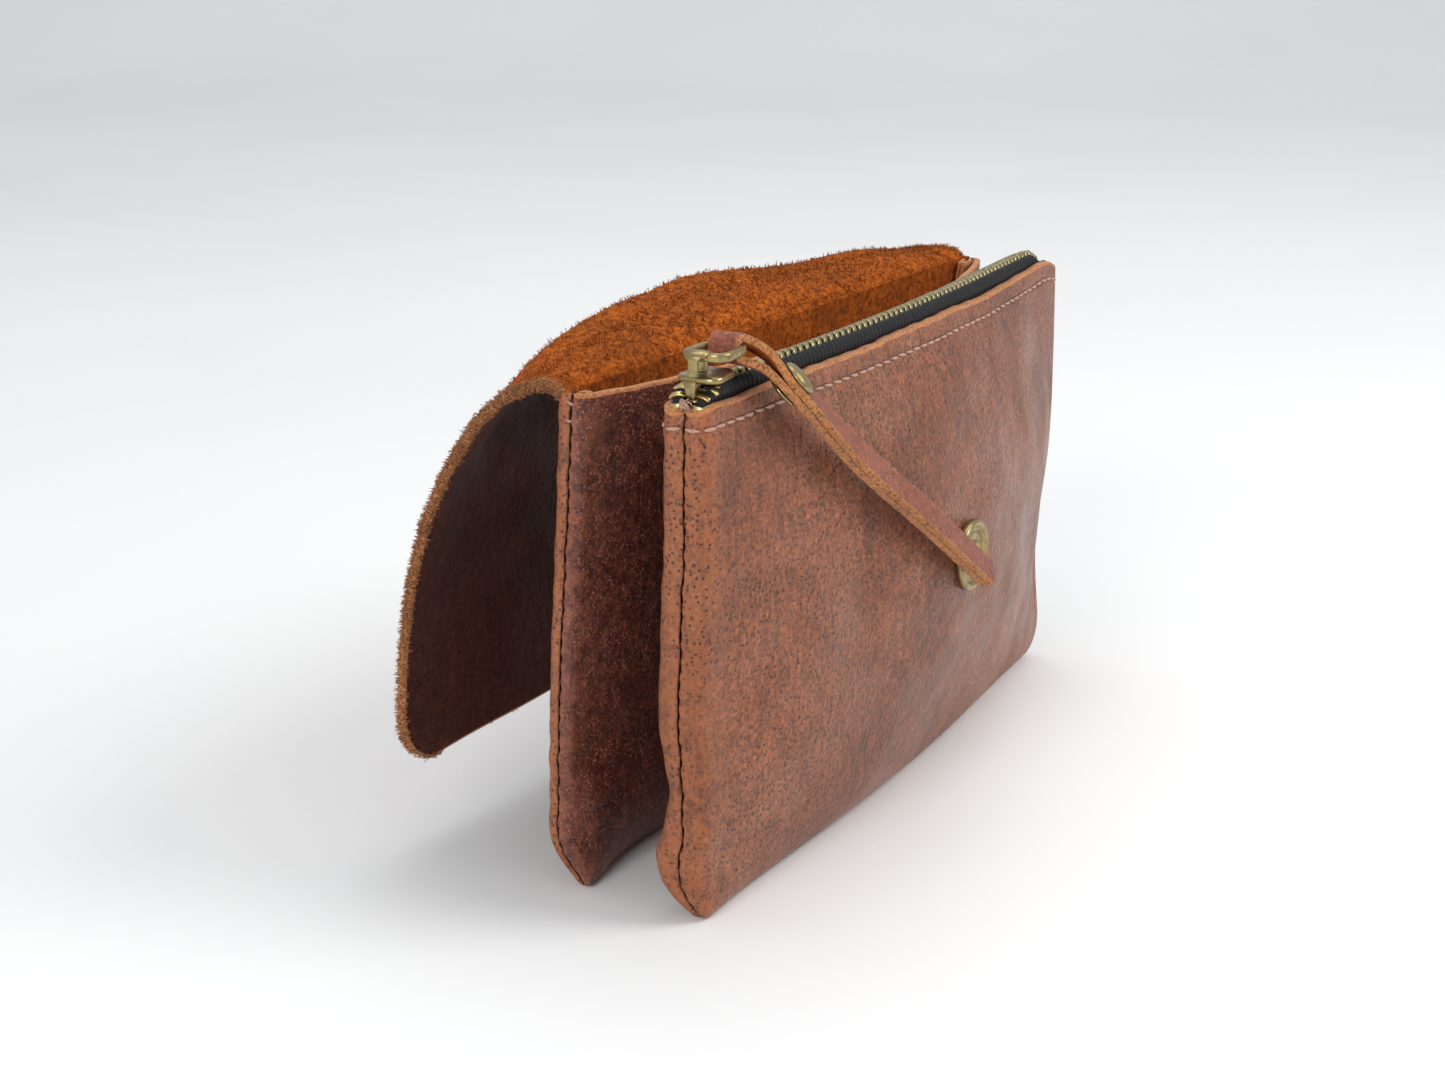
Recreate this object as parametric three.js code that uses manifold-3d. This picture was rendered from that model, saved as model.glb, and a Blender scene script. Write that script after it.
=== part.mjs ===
// Leather double pouch: a zipped front pouch and an open rear pocket with a fold-over snap flap.
// Millimetres. +X runs along the width, from the zip-puller end to the far end.
// The front faces -Y and +Z is up.
import * as THREE from 'three';
import { mergeVertices } from 'three/addons/utils/BufferGeometryUtils.js';
import Module from 'manifold-3d';

const wasm = await Module();
wasm.setup();

const CLEAR = 0.3;                 // gap kept between pieces that touch
const SEAM_HALF = 0.4;             // half the hollow left where two panels are sewn together

// Zipped front pouch
const ZIP = {
  halfLength: 95,
  height: 106,
  leather: 1.8,
  halfThickness: 4.8,
  bottomHalf: 2.5,
  cornerRadius: 2.5,
};
const ZIP_BOW = 3;                 // the whole rim bows this far to the front at mid width
const FRONT_BULGE = 12.2;
const FRONT_FULLNESS = 0.9;        // under 1, the front bulges over more of its height
const BACK_BULGE = 2.5;
const BOTTOM_ROUND = 8;            // height over which the panels round in to the bottom
const ZIP_END_ROUND = 4;           // how far the ends draw in at the bottom
const PANEL_LEVELS = [0, 1.2, 3, 6, 10, 18, 30, 42, 54, 66, 78, 90, 99];
const PANEL_STATIONS = 19;
const FOLD_HEIGHT = 4;             // the inner faces close up below this height
const INNER_CORNER = 0.5;

// Rear pocket, in a frame of its own that is turned a little about Z
const POCKET = { halfLength: 92.5, height: 105.5, leather: 1.8, y: 25.3, turn: -2.6 };
const POCKET_LEAN = 5;             // the bottom stands this far behind the rim
const POCKET_FRONT_BOW = 14.2;     // the front panel bows this far forward at mid width of its rim
const POCKET_END = { front: 2.6, backTop: 3.5, backBottom: 2.5, cornerRadius: 1.6 };
const POCKET_END_ROUND = 3;
const POCKET_BOW_FALL = 0.55;      // how the bow grows from the bottom to the rim
const POCKET_BOW_SHAPE = 2.8;      // over 2, the bow is flatter in the middle than a parabola

// Zipper
const CHAIN = { bottom: 107.5, top: 109.9, halfWidth: 2.9, start: -87.5, end: 88 };
const TOOTH = { pitch: 2.6, length: 1, reach: 0.9, bead: 1.3, beadInset: 0.5 };
const END_STOP = { length: 2, halfWidth: 1 };
const BAR_TACK = { x: -94.4, length: 1.2, back: 1.8, front: -1.4, bottom: 106.4, top: 108 };
const TAPE = { thickness: 0.7, bottom: 94, top: 107.2, halfLength: 91 };
const SLIDER = { x: -88.5, y: -2, length: 10, width: 9.8, plate: 1.5, top: 111.8, cornerRadius: 2.4 };
const SLIDER_UNDER = { y: -1, length: 9, width: 1.8, thickness: 0.8, bottom: 106.4, cornerRadius: 0.6 };
const NECK = { setBack: 0.8, length: 2.4, halfWidth: 0.8, rise: 0.3 };
const CROWN = { x: -92.6, width: 2.4, height: 5.2, halfLength: 2.2, shoulder: 1.6, eye: 1.15 };
const RING = { x: -87.4, y: -3, z: 115.5, halfLength: 5.9, halfWidth: 5, band: 1.4 };
const RING_CORNERS = { outer: 2, inner: 0.6 };

// Puller strap: two layers of one folded strip
const STRAP = { width: 6.4, leather: 1.6, gap: 0.3, foldRadius: 2.1, closedAt: 0.14 };
const STRAP_STATIONS = [0.02, 0.05, 0.09, 0.14, 0.2, 0.3, 0.42, 0.56, 0.7, 0.85, 1];
const STRAP_ROLL = { start: -90, end: -45, over: 0.625 };
const RIVET = { at: 0.155, shank: 1.1, hole: 1.43 };
const RIVET_CAP = { radius: 3.8, rise: 1.3 };
const RIVET_BACK = { radius: 3.4, rise: 0.7 };

// Flap: five stretches of one leather sheet
const FLAP = { width: 184, leather: 2, hinge: 105.8, gap: 1.5, cornerRadius: 13 };
const FLAP_LENGTHS = [21, 21, 24, 24, 26];
const FLAP_ANGLES = [5, -47, -73, -86, -95];   // each stretch's slope when the flap hangs open

// Magnetic snap
const FLAP_SNAP = { along: 19.4, across: 2.1, radius: 6.5, thickness: 0.9, capRadius: 5.6, capRise: 1.2 };
const SNAP = { x: 0, z: 55, radius: 8, rim: 2, floor: 1.2, hub: 1.9, hubRadius: 3, stem: 2, stemDepth: 2.6 };
const SNAP_HOLE = 2.3;
const WASHER = { radius: 5, thickness: 0.7 };

// Stitching
const THREAD = { z: 102, strand: 0.35 };
const JOIN_THREAD = { halfWidth: 0.4, bottom: 84, top: 97, thickness: 1 };

const leather = { color: 0x8a4f35, roughness: 0.55, metalness: 0 };
const shadedLeather = { color: 0x6b3526, roughness: 0.6, metalness: 0 };
const suede = { color: 0xa85a2a, roughness: 0.95, metalness: 0 };
const cloth = { color: 0x14161c, roughness: 0.9, metalness: 0 };
const brass = { color: 0x8c8260, roughness: 0.35, metalness: 1 };
const thread = { color: 0xc99a88, roughness: 0.8, metalness: 0 };

// The origin is on the front pouch's flat bottom, under its mid width.
const ORIGIN_Y = -4.45;

const model = new THREE.Group();
model.position.y = -ORIGIN_Y;
const rearFrame = new THREE.Group();
rearFrame.position.set(0, POCKET.y, 0);
rearFrame.rotation.z = THREE.MathUtils.degToRad(POCKET.turn);
model.add(rearFrame);

// ---------- helpers ----------

function addMesh(name, geometry, look, parent = model) {
  const mesh = new THREE.Mesh(geometry, new THREE.MeshStandardMaterial(look));
  mesh.name = name;
  parent.add(mesh);
  return mesh;
}

function toSolid(geometry) {
  const plain = geometry.clone();
  plain.deleteAttribute('normal');
  plain.deleteAttribute('uv');
  const merged = mergeVertices(plain, 1e-4);
  return new wasm.Manifold(new wasm.Mesh({
    numProp: 3,
    vertProperties: new Float32Array(merged.attributes.position.array),
    triVerts: new Uint32Array(merged.index.array),
  }));
}

function toGeometry(solid) {
  const mesh = solid.getMesh();
  const geometry = new THREE.BufferGeometry();
  geometry.setAttribute('position', new THREE.BufferAttribute(new Float32Array(mesh.vertProperties), 3));
  geometry.setIndex(new THREE.BufferAttribute(new Uint32Array(mesh.triVerts), 1));
  return geometry;
}

function cut(geometry, ...tools) {
  return toGeometry(tools.reduce((solid, tool) => solid.subtract(toSolid(tool)), toSolid(geometry)));
}

function join(...geometries) {
  return toGeometry(geometries.map(toSolid).reduce((sum, solid) => sum.add(solid)));
}

// A closed solid through equal-length rings of points, with a flat cap on each end ring.
function loft(rings) {
  const count = rings[0].length;
  const points = rings.flat().flatMap((p) => [p.x, p.y, p.z]);
  const index = [];
  for (let r = 0; r < rings.length - 1; r++) {
    for (let i = 0; i < count; i++) {
      const a = r * count + i;
      const b = r * count + ((i + 1) % count);
      index.push(a, b, b + count, a, b + count, a + count);
    }
  }
  const last = (rings.length - 1) * count;
  for (const [i, j, k] of capTriangles(rings[0])) index.push(k, j, i);
  for (const [i, j, k] of capTriangles(rings[rings.length - 1])) index.push(last + i, last + j, last + k);
  const geometry = new THREE.BufferGeometry();
  geometry.setAttribute('position', new THREE.Float32BufferAttribute(points, 3));
  geometry.setIndex(index);
  return volumeOf(geometry) < 0 ? flipped(geometry) : geometry;
}

// Triangles of a flat ring, wound the way the ring runs.
function capTriangles(ring) {
  const normal = new THREE.Vector3();
  ring.forEach((p, i) => normal.add(p.clone().cross(ring[(i + 1) % ring.length])));
  normal.normalize();
  const across = ring[1].clone().sub(ring[0]).normalize();
  const up = normal.clone().cross(across);
  const flat = ring.map((p) => new THREE.Vector2(p.dot(across), p.dot(up)));
  return THREE.ShapeUtils.triangulateShape(flat, []);
}

function volumeOf(geometry) {
  const position = geometry.attributes.position;
  const index = geometry.index.array;
  const [a, b, c] = [new THREE.Vector3(), new THREE.Vector3(), new THREE.Vector3()];
  let sum = 0;
  for (let i = 0; i < index.length; i += 3) {
    a.fromBufferAttribute(position, index[i]);
    b.fromBufferAttribute(position, index[i + 1]);
    c.fromBufferAttribute(position, index[i + 2]);
    sum += a.dot(b.cross(c)) / 6;
  }
  return sum;
}

function flipped(geometry) {
  const index = Array.from(geometry.index.array);
  for (let i = 0; i < index.length; i += 3) [index[i], index[i + 1]] = [index[i + 1], index[i]];
  geometry.setIndex(index);
  return geometry;
}

const mix = (a, b, t) => a + (b - a) * t;
const steps = (count, from, to) => Array.from({ length: count }, (_, i) => mix(from, to, i / (count - 1)));
const arch = (x, halfLength) => Math.max(0, 1 - (x / halfLength) ** 2);
const hump = (z, height, power) => Math.max(0, Math.sin(Math.PI * z / height)) ** power;
const bow = (x) => -ZIP_BOW * arch(x, ZIP.halfLength) ** 2;

// A solid of revolution about +Y through [radius, height] points.
function turned(profile, segments) {
  return new THREE.LatheGeometry(profile.map(([r, h]) => new THREE.Vector2(r, h)), segments);
}

function cylinderAlongY(radius, from, to, x, z) {
  const geometry = new THREE.CylinderGeometry(radius, radius, to - from, 24);
  geometry.translate(x, (from + to) / 2, z);
  return geometry;
}

function boxAt(x0, x1, y0, y1, z0, z1) {
  const geometry = new THREE.BoxGeometry(x1 - x0, y1 - y0, z1 - z0);
  geometry.translate((x0 + x1) / 2, (y0 + y1) / 2, (z0 + z1) / 2);
  return geometry;
}

// ---------- leather panels ----------

// One face of a panel at one height: from the near end's seam round to the far end's seam.
// side is -1 for a panel that bulges to the front, +1 for one that bulges to the back.
function faceLine({ side, z, halfLength, endHalf, radius, seamY, extra }) {
  const line = [];
  const put = (x, depth) => line.push(new THREE.Vector3(x, seamY(x) + side * depth, z));
  const corner = steps(4, 0, Math.PI / 2).map((a) => ({
    inset: radius * (1 - Math.cos(a)),
    depth: endHalf - radius + radius * Math.sin(a),
  }));
  const middle = steps(PANEL_STATIONS, -halfLength + radius, halfLength - radius).slice(1, -1);
  put(-halfLength, CLEAR / 2);
  for (const { inset, depth } of corner) put(-halfLength + inset, depth);
  for (const x of middle) put(x, endHalf + extra(x));
  for (const { inset, depth } of corner.reverse()) put(halfLength - inset, depth);
  put(halfLength, CLEAR / 2);
  return line;
}

// A leather panel: rings of outer and inner face, from the closed bottom fold to the raw rim.
function panel({ side, height, halfLengthAt, endHalfAt, seamAt, extraAt, leatherThickness, radius }) {
  return loft([...PANEL_LEVELS, height].map((z) => {
    const closed = Math.max(0, 1 - z / FOLD_HEIGHT);
    const endHalf = endHalfAt(z);
    const innerHalf = mix(Math.max(endHalf - leatherThickness, SEAM_HALF), SEAM_HALF, closed);
    const shared = { side, z, seamY: (x) => seamAt(x, z) };
    const outer = faceLine({
      ...shared,
      halfLength: halfLengthAt(z),
      endHalf,
      radius: Math.min(radius, endHalf - SEAM_HALF),
      extra: (x) => extraAt(x, z),
    });
    const inner = faceLine({
      ...shared,
      halfLength: halfLengthAt(z) - leatherThickness,
      endHalf: innerHalf,
      radius: Math.min(INNER_CORNER, innerHalf - SEAM_HALF / 2),
      extra: (x) => extraAt(x, z) * (1 - closed),
    });
    return [...outer, ...inner.reverse()];
  }));
}

const roundIn = (z) => Math.max(0, 1 - z / BOTTOM_ROUND) ** 2;
const zipHalfLength = (z) => ZIP.halfLength - ZIP_END_ROUND * roundIn(z);

const zipHalfThickness = (z) => mix(ZIP.bottomHalf, ZIP.halfThickness, Math.sqrt(1 - roundIn(z)));

function zipPanel(side, bulge, power) {
  return panel({
    side,
    height: ZIP.height,
    halfLengthAt: zipHalfLength,
    endHalfAt: zipHalfThickness,
    seamAt: (x) => bow(x),
    extraAt: (x, z) => bulge * hump(z, ZIP.height, power) * arch(x, ZIP.halfLength),
    leatherThickness: ZIP.leather,
    radius: ZIP.cornerRadius,
  });
}

function frontSurface(x, z) {
  const bulge = FRONT_BULGE * hump(z, ZIP.height, FRONT_FULLNESS) * arch(x, ZIP.halfLength);
  return bow(x) - zipHalfThickness(z) - bulge;
}

const pocketHalfLength = (z) => POCKET.halfLength - POCKET_END_ROUND * roundIn(z);
const pocketBack = (z) => POCKET_LEAN * (1 - z / POCKET.height);
const pocketEnd = (z) => mix(POCKET_END.backBottom, POCKET_END.backTop, z / POCKET.height);
const pocketSeam = (z) => pocketBack(z) - pocketEnd(z);

function pocketFrontBow(x, z) {
  const across = 1 - Math.min(1, Math.abs(x / POCKET.halfLength)) ** POCKET_BOW_SHAPE;
  return POCKET_FRONT_BOW * (z / POCKET.height) ** POCKET_BOW_FALL * across;
}

function pocketPanel(side) {
  return panel({
    side,
    height: POCKET.height,
    halfLengthAt: pocketHalfLength,
    endHalfAt: side < 0 ? () => POCKET_END.front : pocketEnd,
    seamAt: (x, z) => pocketSeam(z),
    extraAt: side < 0 ? pocketFrontBow : () => 0,
    leatherThickness: POCKET.leather,
    radius: POCKET_END.cornerRadius,
  });
}

// ---------- zipper ----------

// A strip of constant cross-section that follows the bow of the rim.
function bowedStrip(section, from, to) {
  const place = (x) => section.map(([y, z]) => new THREE.Vector3(x, bow(x) + y, z));
  return loft(steps(19, from, to).map(place));
}

function tape(side) {
  const outer = side * (ZIP.halfThickness - ZIP.leather - CLEAR);
  const inner = outer - side * TAPE.thickness;
  const section = [[outer, TAPE.bottom], [inner, TAPE.bottom], [inner, TAPE.top], [outer, TAPE.top]];
  return bowedStrip(section, -TAPE.halfLength, TAPE.halfLength);
}

// One side of the chain: a beaded edge with a tooth every pitch, each reaching past the middle.
function teeth(side) {
  const edge = side * CHAIN.halfWidth;
  const bead = side * (CHAIN.halfWidth - TOOTH.bead);
  const low = CHAIN.bottom + TOOTH.beadInset;
  const high = CHAIN.top - TOOTH.beadInset;
  const section = [[edge, low], [bead, low], [bead, high], [edge, high]];
  let comb = toSolid(bowedStrip(section, CHAIN.start, CHAIN.end));
  const first = CHAIN.start + TOOTH.length + (side > 0 ? TOOTH.pitch / 2 : 0);
  for (let x = first; x < CHAIN.end - TOOTH.length; x += TOOTH.pitch) {
    const ends = [bow(x) + edge, bow(x) - side * TOOTH.reach];
    const [x0, x1] = [x - TOOTH.length / 2, x + TOOTH.length / 2];
    const tooth = boxAt(x0, x1, Math.min(...ends), Math.max(...ends), CHAIN.bottom, CHAIN.top);
    comb = comb.add(toSolid(tooth));
  }
  return toGeometry(comb);
}

function endStop() {
  const x = CHAIN.end + CLEAR;
  const y = bow(CHAIN.end);
  const half = END_STOP.halfWidth;
  return boxAt(x, x + END_STOP.length, y - half, y + half, CHAIN.bottom, CHAIN.top);
}

function barTack() {
  const { x, length, back, front, bottom, top } = BAR_TACK;
  return boxAt(x, x + length, front, back, bottom, top);
}

function roundedPlate(length, width, radius, thickness) {
  const shape = new THREE.Shape();
  const [a, b] = [length / 2, width / 2];
  shape.moveTo(-a + radius, -b);
  shape.lineTo(a - radius, -b);
  shape.absarc(a - radius, -b + radius, radius, -Math.PI / 2, 0);
  shape.absarc(a - radius, b - radius, radius, 0, Math.PI / 2);
  shape.absarc(-a + radius, b - radius, radius, Math.PI / 2, Math.PI);
  shape.absarc(-a + radius, -b + radius, radius, Math.PI, 1.5 * Math.PI);
  return new THREE.ExtrudeGeometry(shape, { depth: thickness, bevelEnabled: false, curveSegments: 4 });
}

function sliderBody() {
  const { x, y, length, width, plate, top, cornerRadius } = SLIDER;
  const upper = roundedPlate(length, width, cornerRadius, plate);
  upper.translate(x, y, top - plate);
  const { y: underY, bottom } = SLIDER_UNDER;
  const under = roundedPlate(
    SLIDER_UNDER.length, SLIDER_UNDER.width, SLIDER_UNDER.cornerRadius, SLIDER_UNDER.thickness,
  );
  under.translate(x, underY, bottom);
  const neckX = x - length / 2 + NECK.setBack;
  const neck = boxAt(
    neckX, neckX + NECK.length,
    underY - NECK.halfWidth, underY + NECK.halfWidth,
    bottom + NECK.rise, top - plate / 2,
  );
  return join(upper, under, neck);
}

// The crown is a bail over the ring's near bar, standing in the X-Z plane.
function sliderCrown() {
  const shape = new THREE.Shape();
  const half = CROWN.halfLength;
  const foot = SLIDER.top + CLEAR;
  const high = SLIDER.top + CROWN.height;
  const shoulder = high - CROWN.shoulder;
  shape.moveTo(-half, foot);
  shape.lineTo(half, foot);
  shape.lineTo(half, shoulder);
  shape.quadraticCurveTo(half, high, 0, high);
  shape.quadraticCurveTo(-half, high, -half, shoulder);
  const eye = new THREE.Path();
  eye.absarc(0, RING.z, CROWN.eye, 0, 2 * Math.PI, true);
  shape.holes.push(eye);
  const options = { depth: CROWN.width, bevelEnabled: false, curveSegments: 10 };
  const geometry = new THREE.ExtrudeGeometry(shape, options);
  geometry.rotateX(Math.PI / 2);
  geometry.translate(CROWN.x, SLIDER.y + CROWN.width / 2, 0);
  return geometry;
}

function oval(target, halfLength, halfWidth, radius) {
  const [a, b] = [halfLength - radius, halfWidth - radius];
  target.absarc(a, -b, radius, -Math.PI / 2, 0);
  target.absarc(a, b, radius, 0, Math.PI / 2);
  target.absarc(-a, b, radius, Math.PI / 2, Math.PI);
  target.absarc(-a, -b, radius, Math.PI, 1.5 * Math.PI);
  return target;
}

function pullRing() {
  const { halfLength, halfWidth, band } = RING;
  const shape = oval(new THREE.Shape(), halfLength, halfWidth, RING_CORNERS.outer);
  shape.holes.push(oval(new THREE.Path(), halfLength - band, halfWidth - band, RING_CORNERS.inner));
  const geometry = new THREE.ExtrudeGeometry(shape, { depth: band, bevelEnabled: false, curveSegments: 5 });
  geometry.translate(RING.x, RING.y, RING.z - band / 2);
  return geometry;
}

// ---------- puller strap ----------

const strapLine = new THREE.CatmullRomCurve3([
  new THREE.Vector3(RING.x + RING.halfLength - RING.band / 2, RING.y, RING.z),
  new THREE.Vector3(-77.5, -6.6, 112.9),
  new THREE.Vector3(-71.5, -10.9, 106.8),
  new THREE.Vector3(-50.9, -16.2, 88.6),
  new THREE.Vector3(-27, -21.9, 70.2),
  new THREE.Vector3(-4.1, -26.8, 52.3),
]);

// The strap's own directions at t: along it, across its width, and out of its grain face.
// At the ring it lies square to the ring's far bar, whatever way the strap then leaves it.
function strapFrame(t) {
  const along = strapLine.getTangentAt(t);
  along.y *= THREE.MathUtils.smoothstep(t, 0.02, 0.2);
  along.normalize();
  const upright = new THREE.Vector3(0, 0, 1).addScaledVector(along, -along.z).normalize();
  const outward = along.clone().cross(upright);
  const turned = mix(STRAP_ROLL.start, STRAP_ROLL.end, Math.min(1, t / STRAP_ROLL.over));
  const roll = THREE.MathUtils.degToRad(turned);
  const across = upright.clone().multiplyScalar(Math.cos(roll)).addScaledVector(outward, Math.sin(roll));
  const out = upright.multiplyScalar(-Math.sin(roll)).addScaledVector(outward, Math.cos(roll));
  return { along, across, out };
}

function strapRing(centre, across, out) {
  const [w, t] = [STRAP.width / 2, STRAP.leather / 2];
  return [[-w, -t], [w, -t], [w, t], [-w, t]]
    .map(([a, b]) => centre.clone().addScaledVector(across, a).addScaledVector(out, b));
}

function pullerStrap() {
  const layer = (STRAP.gap + STRAP.leather) / 2;
  const closing = (t) => THREE.MathUtils.smoothstep(t, 0, STRAP.closedAt);
  const offset = (t) => mix(STRAP.foldRadius, layer, closing(t));
  const run = (sign) => STRAP_STATIONS.map((t) => {
    const { across, out } = strapFrame(t);
    const centre = strapLine.getPointAt(t).addScaledVector(out, sign * offset(t));
    return strapRing(centre, across, out.multiplyScalar(sign));
  });
  const { along, across, out } = strapFrame(0);
  const fold = steps(7, Math.PI / 2, -Math.PI / 2).map((angle) => {
    const away = out.clone().multiplyScalar(Math.sin(angle)).addScaledVector(along, -Math.cos(angle));
    return strapRing(strapLine.getPointAt(0).addScaledVector(away, STRAP.foldRadius), across, away);
  });
  return loft([...run(1).reverse(), ...fold, ...run(-1)]);
}

// Turns a piece modelled round +Z into the strap's frame at the rivet.
function placeOnStrap(mesh) {
  const { along, across, out } = strapFrame(RIVET.at);
  mesh.quaternion.setFromRotationMatrix(new THREE.Matrix4().makeBasis(along, across, out));
  mesh.position.copy(strapLine.getPointAt(RIVET.at));
  return mesh;
}

function rivetDome({ radius, rise }, base) {
  const curve = steps(6, 0, Math.PI / 2).slice(0, -1)
    .map((a) => [radius * Math.cos(a), base + rise * Math.sin(a)]);
  const profile = [[0, base], ...curve, [0, base + rise]];
  return turned(profile, 24).rotateX(Math.PI / 2);
}

function rivetShank(radius, half) {
  return new THREE.CylinderGeometry(radius, radius, 2 * half, 20).rotateX(Math.PI / 2);
}

// ---------- flap ----------

function flapStretch(i) {
  const [half, start, end] = [FLAP.width / 2, FLAP.gap, FLAP_LENGTHS[i] - FLAP.gap];
  const last = i === FLAP_LENGTHS.length - 1;
  const shape = new THREE.Shape();
  shape.moveTo(-half, start);
  shape.lineTo(half, start);
  if (last) {
    const r = FLAP.cornerRadius;
    const tip = FLAP_LENGTHS[i];
    shape.absarc(half - r, tip - r, r, 0, Math.PI / 2);
    shape.absarc(-half + r, tip - r, r, Math.PI / 2, Math.PI);
  } else {
    shape.lineTo(half, end);
    shape.lineTo(-half, end);
  }
  const options = { depth: FLAP.leather, bevelEnabled: false, curveSegments: 8 };
  const geometry = new THREE.ExtrudeGeometry(shape, options);
  geometry.translate(0, 0, -FLAP.leather / 2);
  return geometry;
}

// A round piece of the flap's snap, modelled along the flap's own normal.
function snapPiece(profile) {
  const geometry = turned(profile, 32).rotateX(Math.PI / 2);
  geometry.translate(FLAP_SNAP.across, FLAP_SNAP.along, 0);
  return geometry;
}

// The two snap pieces on either side of the flap, and the hole for the stem between them.
function addFlapSnap(name, stretch) {
  const face = FLAP.leather / 2 + CLEAR;
  const { radius, thickness, capRadius, capRise } = FLAP_SNAP;
  const hole = snapPiece([[0, -2 * face], [SNAP_HOLE, -2 * face], [SNAP_HOLE, 2 * face], [0, 2 * face]]);
  addMesh(name, cut(flapStretch(FLAP_LENGTHS.length - 1), hole), suede, stretch);
  const outer = face + thickness;
  const stem = [[0, -face], [SNAP.stem, -face], [SNAP.stem, face]];
  const stud = [...stem, [radius, face], [radius, outer], [0, outer]];
  addMesh('flap_snap_stud', snapPiece(stud), brass, stretch);
  const base = -face - CLEAR;
  const cap = [[0, base - capRise], [capRadius * 0.7, base - capRise * 0.85], [capRadius, base], [0, base]];
  addMesh('flap_snap_cap', snapPiece(cap), brass, stretch);
}

function buildFlap() {
  let place = new THREE.Vector2(0, FLAP.hinge);
  FLAP_LENGTHS.forEach((length, i) => {
    const angle = THREE.MathUtils.degToRad(FLAP_ANGLES[i]);
    const stretch = new THREE.Group();
    stretch.position.set(0, place.x, place.y);
    stretch.rotation.x = angle;
    rearFrame.add(stretch);
    const name = `flap_${i + 1}`;
    if (i < FLAP_LENGTHS.length - 1) addMesh(name, flapStretch(i), suede, stretch);
    else addFlapSnap(name, stretch);
    place = place.clone().add(new THREE.Vector2(Math.cos(angle), Math.sin(angle)).multiplyScalar(length));
  });
}

// ---------- front snap ----------

const snapFace = frontSurface(SNAP.x, SNAP.z) - CLEAR;

function frontSnap() {
  const { radius, rim, floor, hub, hubRadius, stem, stemDepth } = SNAP;
  const profile = [
    [0, -stemDepth], [stem, -stemDepth], [stem, 0],
    [radius, 0], [radius, rim - 0.5], [radius - 0.5, rim],
    [radius - 1.4, rim], [radius - 1.9, floor], [hubRadius + 0.4, floor], [hubRadius, hub], [0, hub],
  ];
  const geometry = turned(profile, 32).rotateX(Math.PI);
  geometry.translate(SNAP.x, snapFace, SNAP.z);
  return geometry;
}

function snapWasher() {
  const inner = snapFace + ZIP.leather + 3 * CLEAR;
  return cut(
    cylinderAlongY(WASHER.radius, inner, inner + WASHER.thickness, SNAP.x, SNAP.z),
    cylinderAlongY(SNAP_HOLE, inner - 1, inner + WASHER.thickness + 1, SNAP.x, SNAP.z),
  );
}

// ---------- stitching ----------

// The top-stitch thread: a fine strand along the panel's outer face, a little under its rim.
function rimThread(side) {
  const { z, strand } = THREAD;
  const front = FRONT_BULGE * hump(z, ZIP.height, FRONT_FULLNESS);
  const bulge = side < 0 ? front : BACK_BULGE * hump(z, ZIP.height, 1);
  const depth = (x) => ZIP.halfThickness + bulge * arch(x, ZIP.halfLength) + CLEAR + strand;
  const round = steps(7, 0, 2 * Math.PI).slice(0, -1);
  const section = (x) => round.map((a) => new THREE.Vector3(
    x, bow(x) + side * (depth(x) + strand * Math.cos(a)), z + strand * Math.sin(a),
  ));
  const reach = ZIP.halfLength - ZIP.cornerRadius - 1;
  return loft(steps(41, -reach, reach).map(section));
}

// The thread that joins the two pouches where they touch at mid width.
function joinThread() {
  const { halfWidth, bottom, top, thickness } = JOIN_THREAD;
  const y = bow(0) + ZIP.halfThickness + BACK_BULGE * hump((bottom + top) / 2, ZIP.height, 1) + 1.7 * CLEAR;
  return boxAt(-halfWidth, halfWidth, y, y + thickness, bottom, top);
}

// ---------- assembly ----------

const snapHole = cylinderAlongY(SNAP_HOLE, snapFace - 1, snapFace + 3 * ZIP.leather, SNAP.x, SNAP.z);
addMesh('zip_front_panel', cut(zipPanel(-1, FRONT_BULGE, FRONT_FULLNESS), snapHole), leather);
addMesh('zip_back_panel', zipPanel(1, BACK_BULGE, 1), leather);
addMesh('zipper_tape_front', tape(-1), cloth);
addMesh('zipper_tape_back', tape(1), cloth);
addMesh('zipper_teeth_front', teeth(-1), brass);
addMesh('zipper_teeth_back', teeth(1), brass);
addMesh('zipper_far_stop', endStop(), brass);
addMesh('zipper_near_bar_tack', barTack(), thread);
addMesh('rim_thread_front', rimThread(-1), thread);
addMesh('rim_thread_back', rimThread(1), thread);
addMesh('front_snap', frontSnap(), brass);
addMesh('front_snap_washer', snapWasher(), brass);
addMesh('pocket_front_panel', pocketPanel(-1), shadedLeather, rearFrame);
addMesh('pocket_back_panel', pocketPanel(1), shadedLeather, rearFrame);
addMesh('pouch_join_thread', joinThread(), thread);
buildFlap();

addMesh('slider_body', sliderBody(), brass);
addMesh('slider_crown', sliderCrown(), brass);
addMesh('pull_ring', pullRing(), brass);

const strapMesh = addMesh('puller_strap', pullerStrap(), leather);
const layerHalf = STRAP.gap / 2 + STRAP.leather;
const shankHole = rivetShank(RIVET.hole, 2 * layerHalf);
const frameAtRivet = placeOnStrap(new THREE.Object3D());
frameAtRivet.updateMatrix();
shankHole.applyMatrix4(frameAtRivet.matrix);
strapMesh.geometry = cut(strapMesh.geometry, shankHole);
placeOnStrap(addMesh('rivet_cap', rivetDome(RIVET_CAP, layerHalf + CLEAR), brass));
placeOnStrap(addMesh('rivet_shank', rivetShank(RIVET.shank, layerHalf), brass));
const backCap = rivetDome(RIVET_BACK, layerHalf + CLEAR);
backCap.rotateX(Math.PI);
placeOnStrap(addMesh('rivet_back_cap', backCap, brass));

export default model;
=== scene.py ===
"""Leather double pouch: the looks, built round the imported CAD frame.

Shapes are worked out in millimetres and turned into metres when a mesh is made.
"""
import math
import random
from collections import namedtuple

import bmesh
import bpy
import numpy as np
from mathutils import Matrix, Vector, noise


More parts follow.
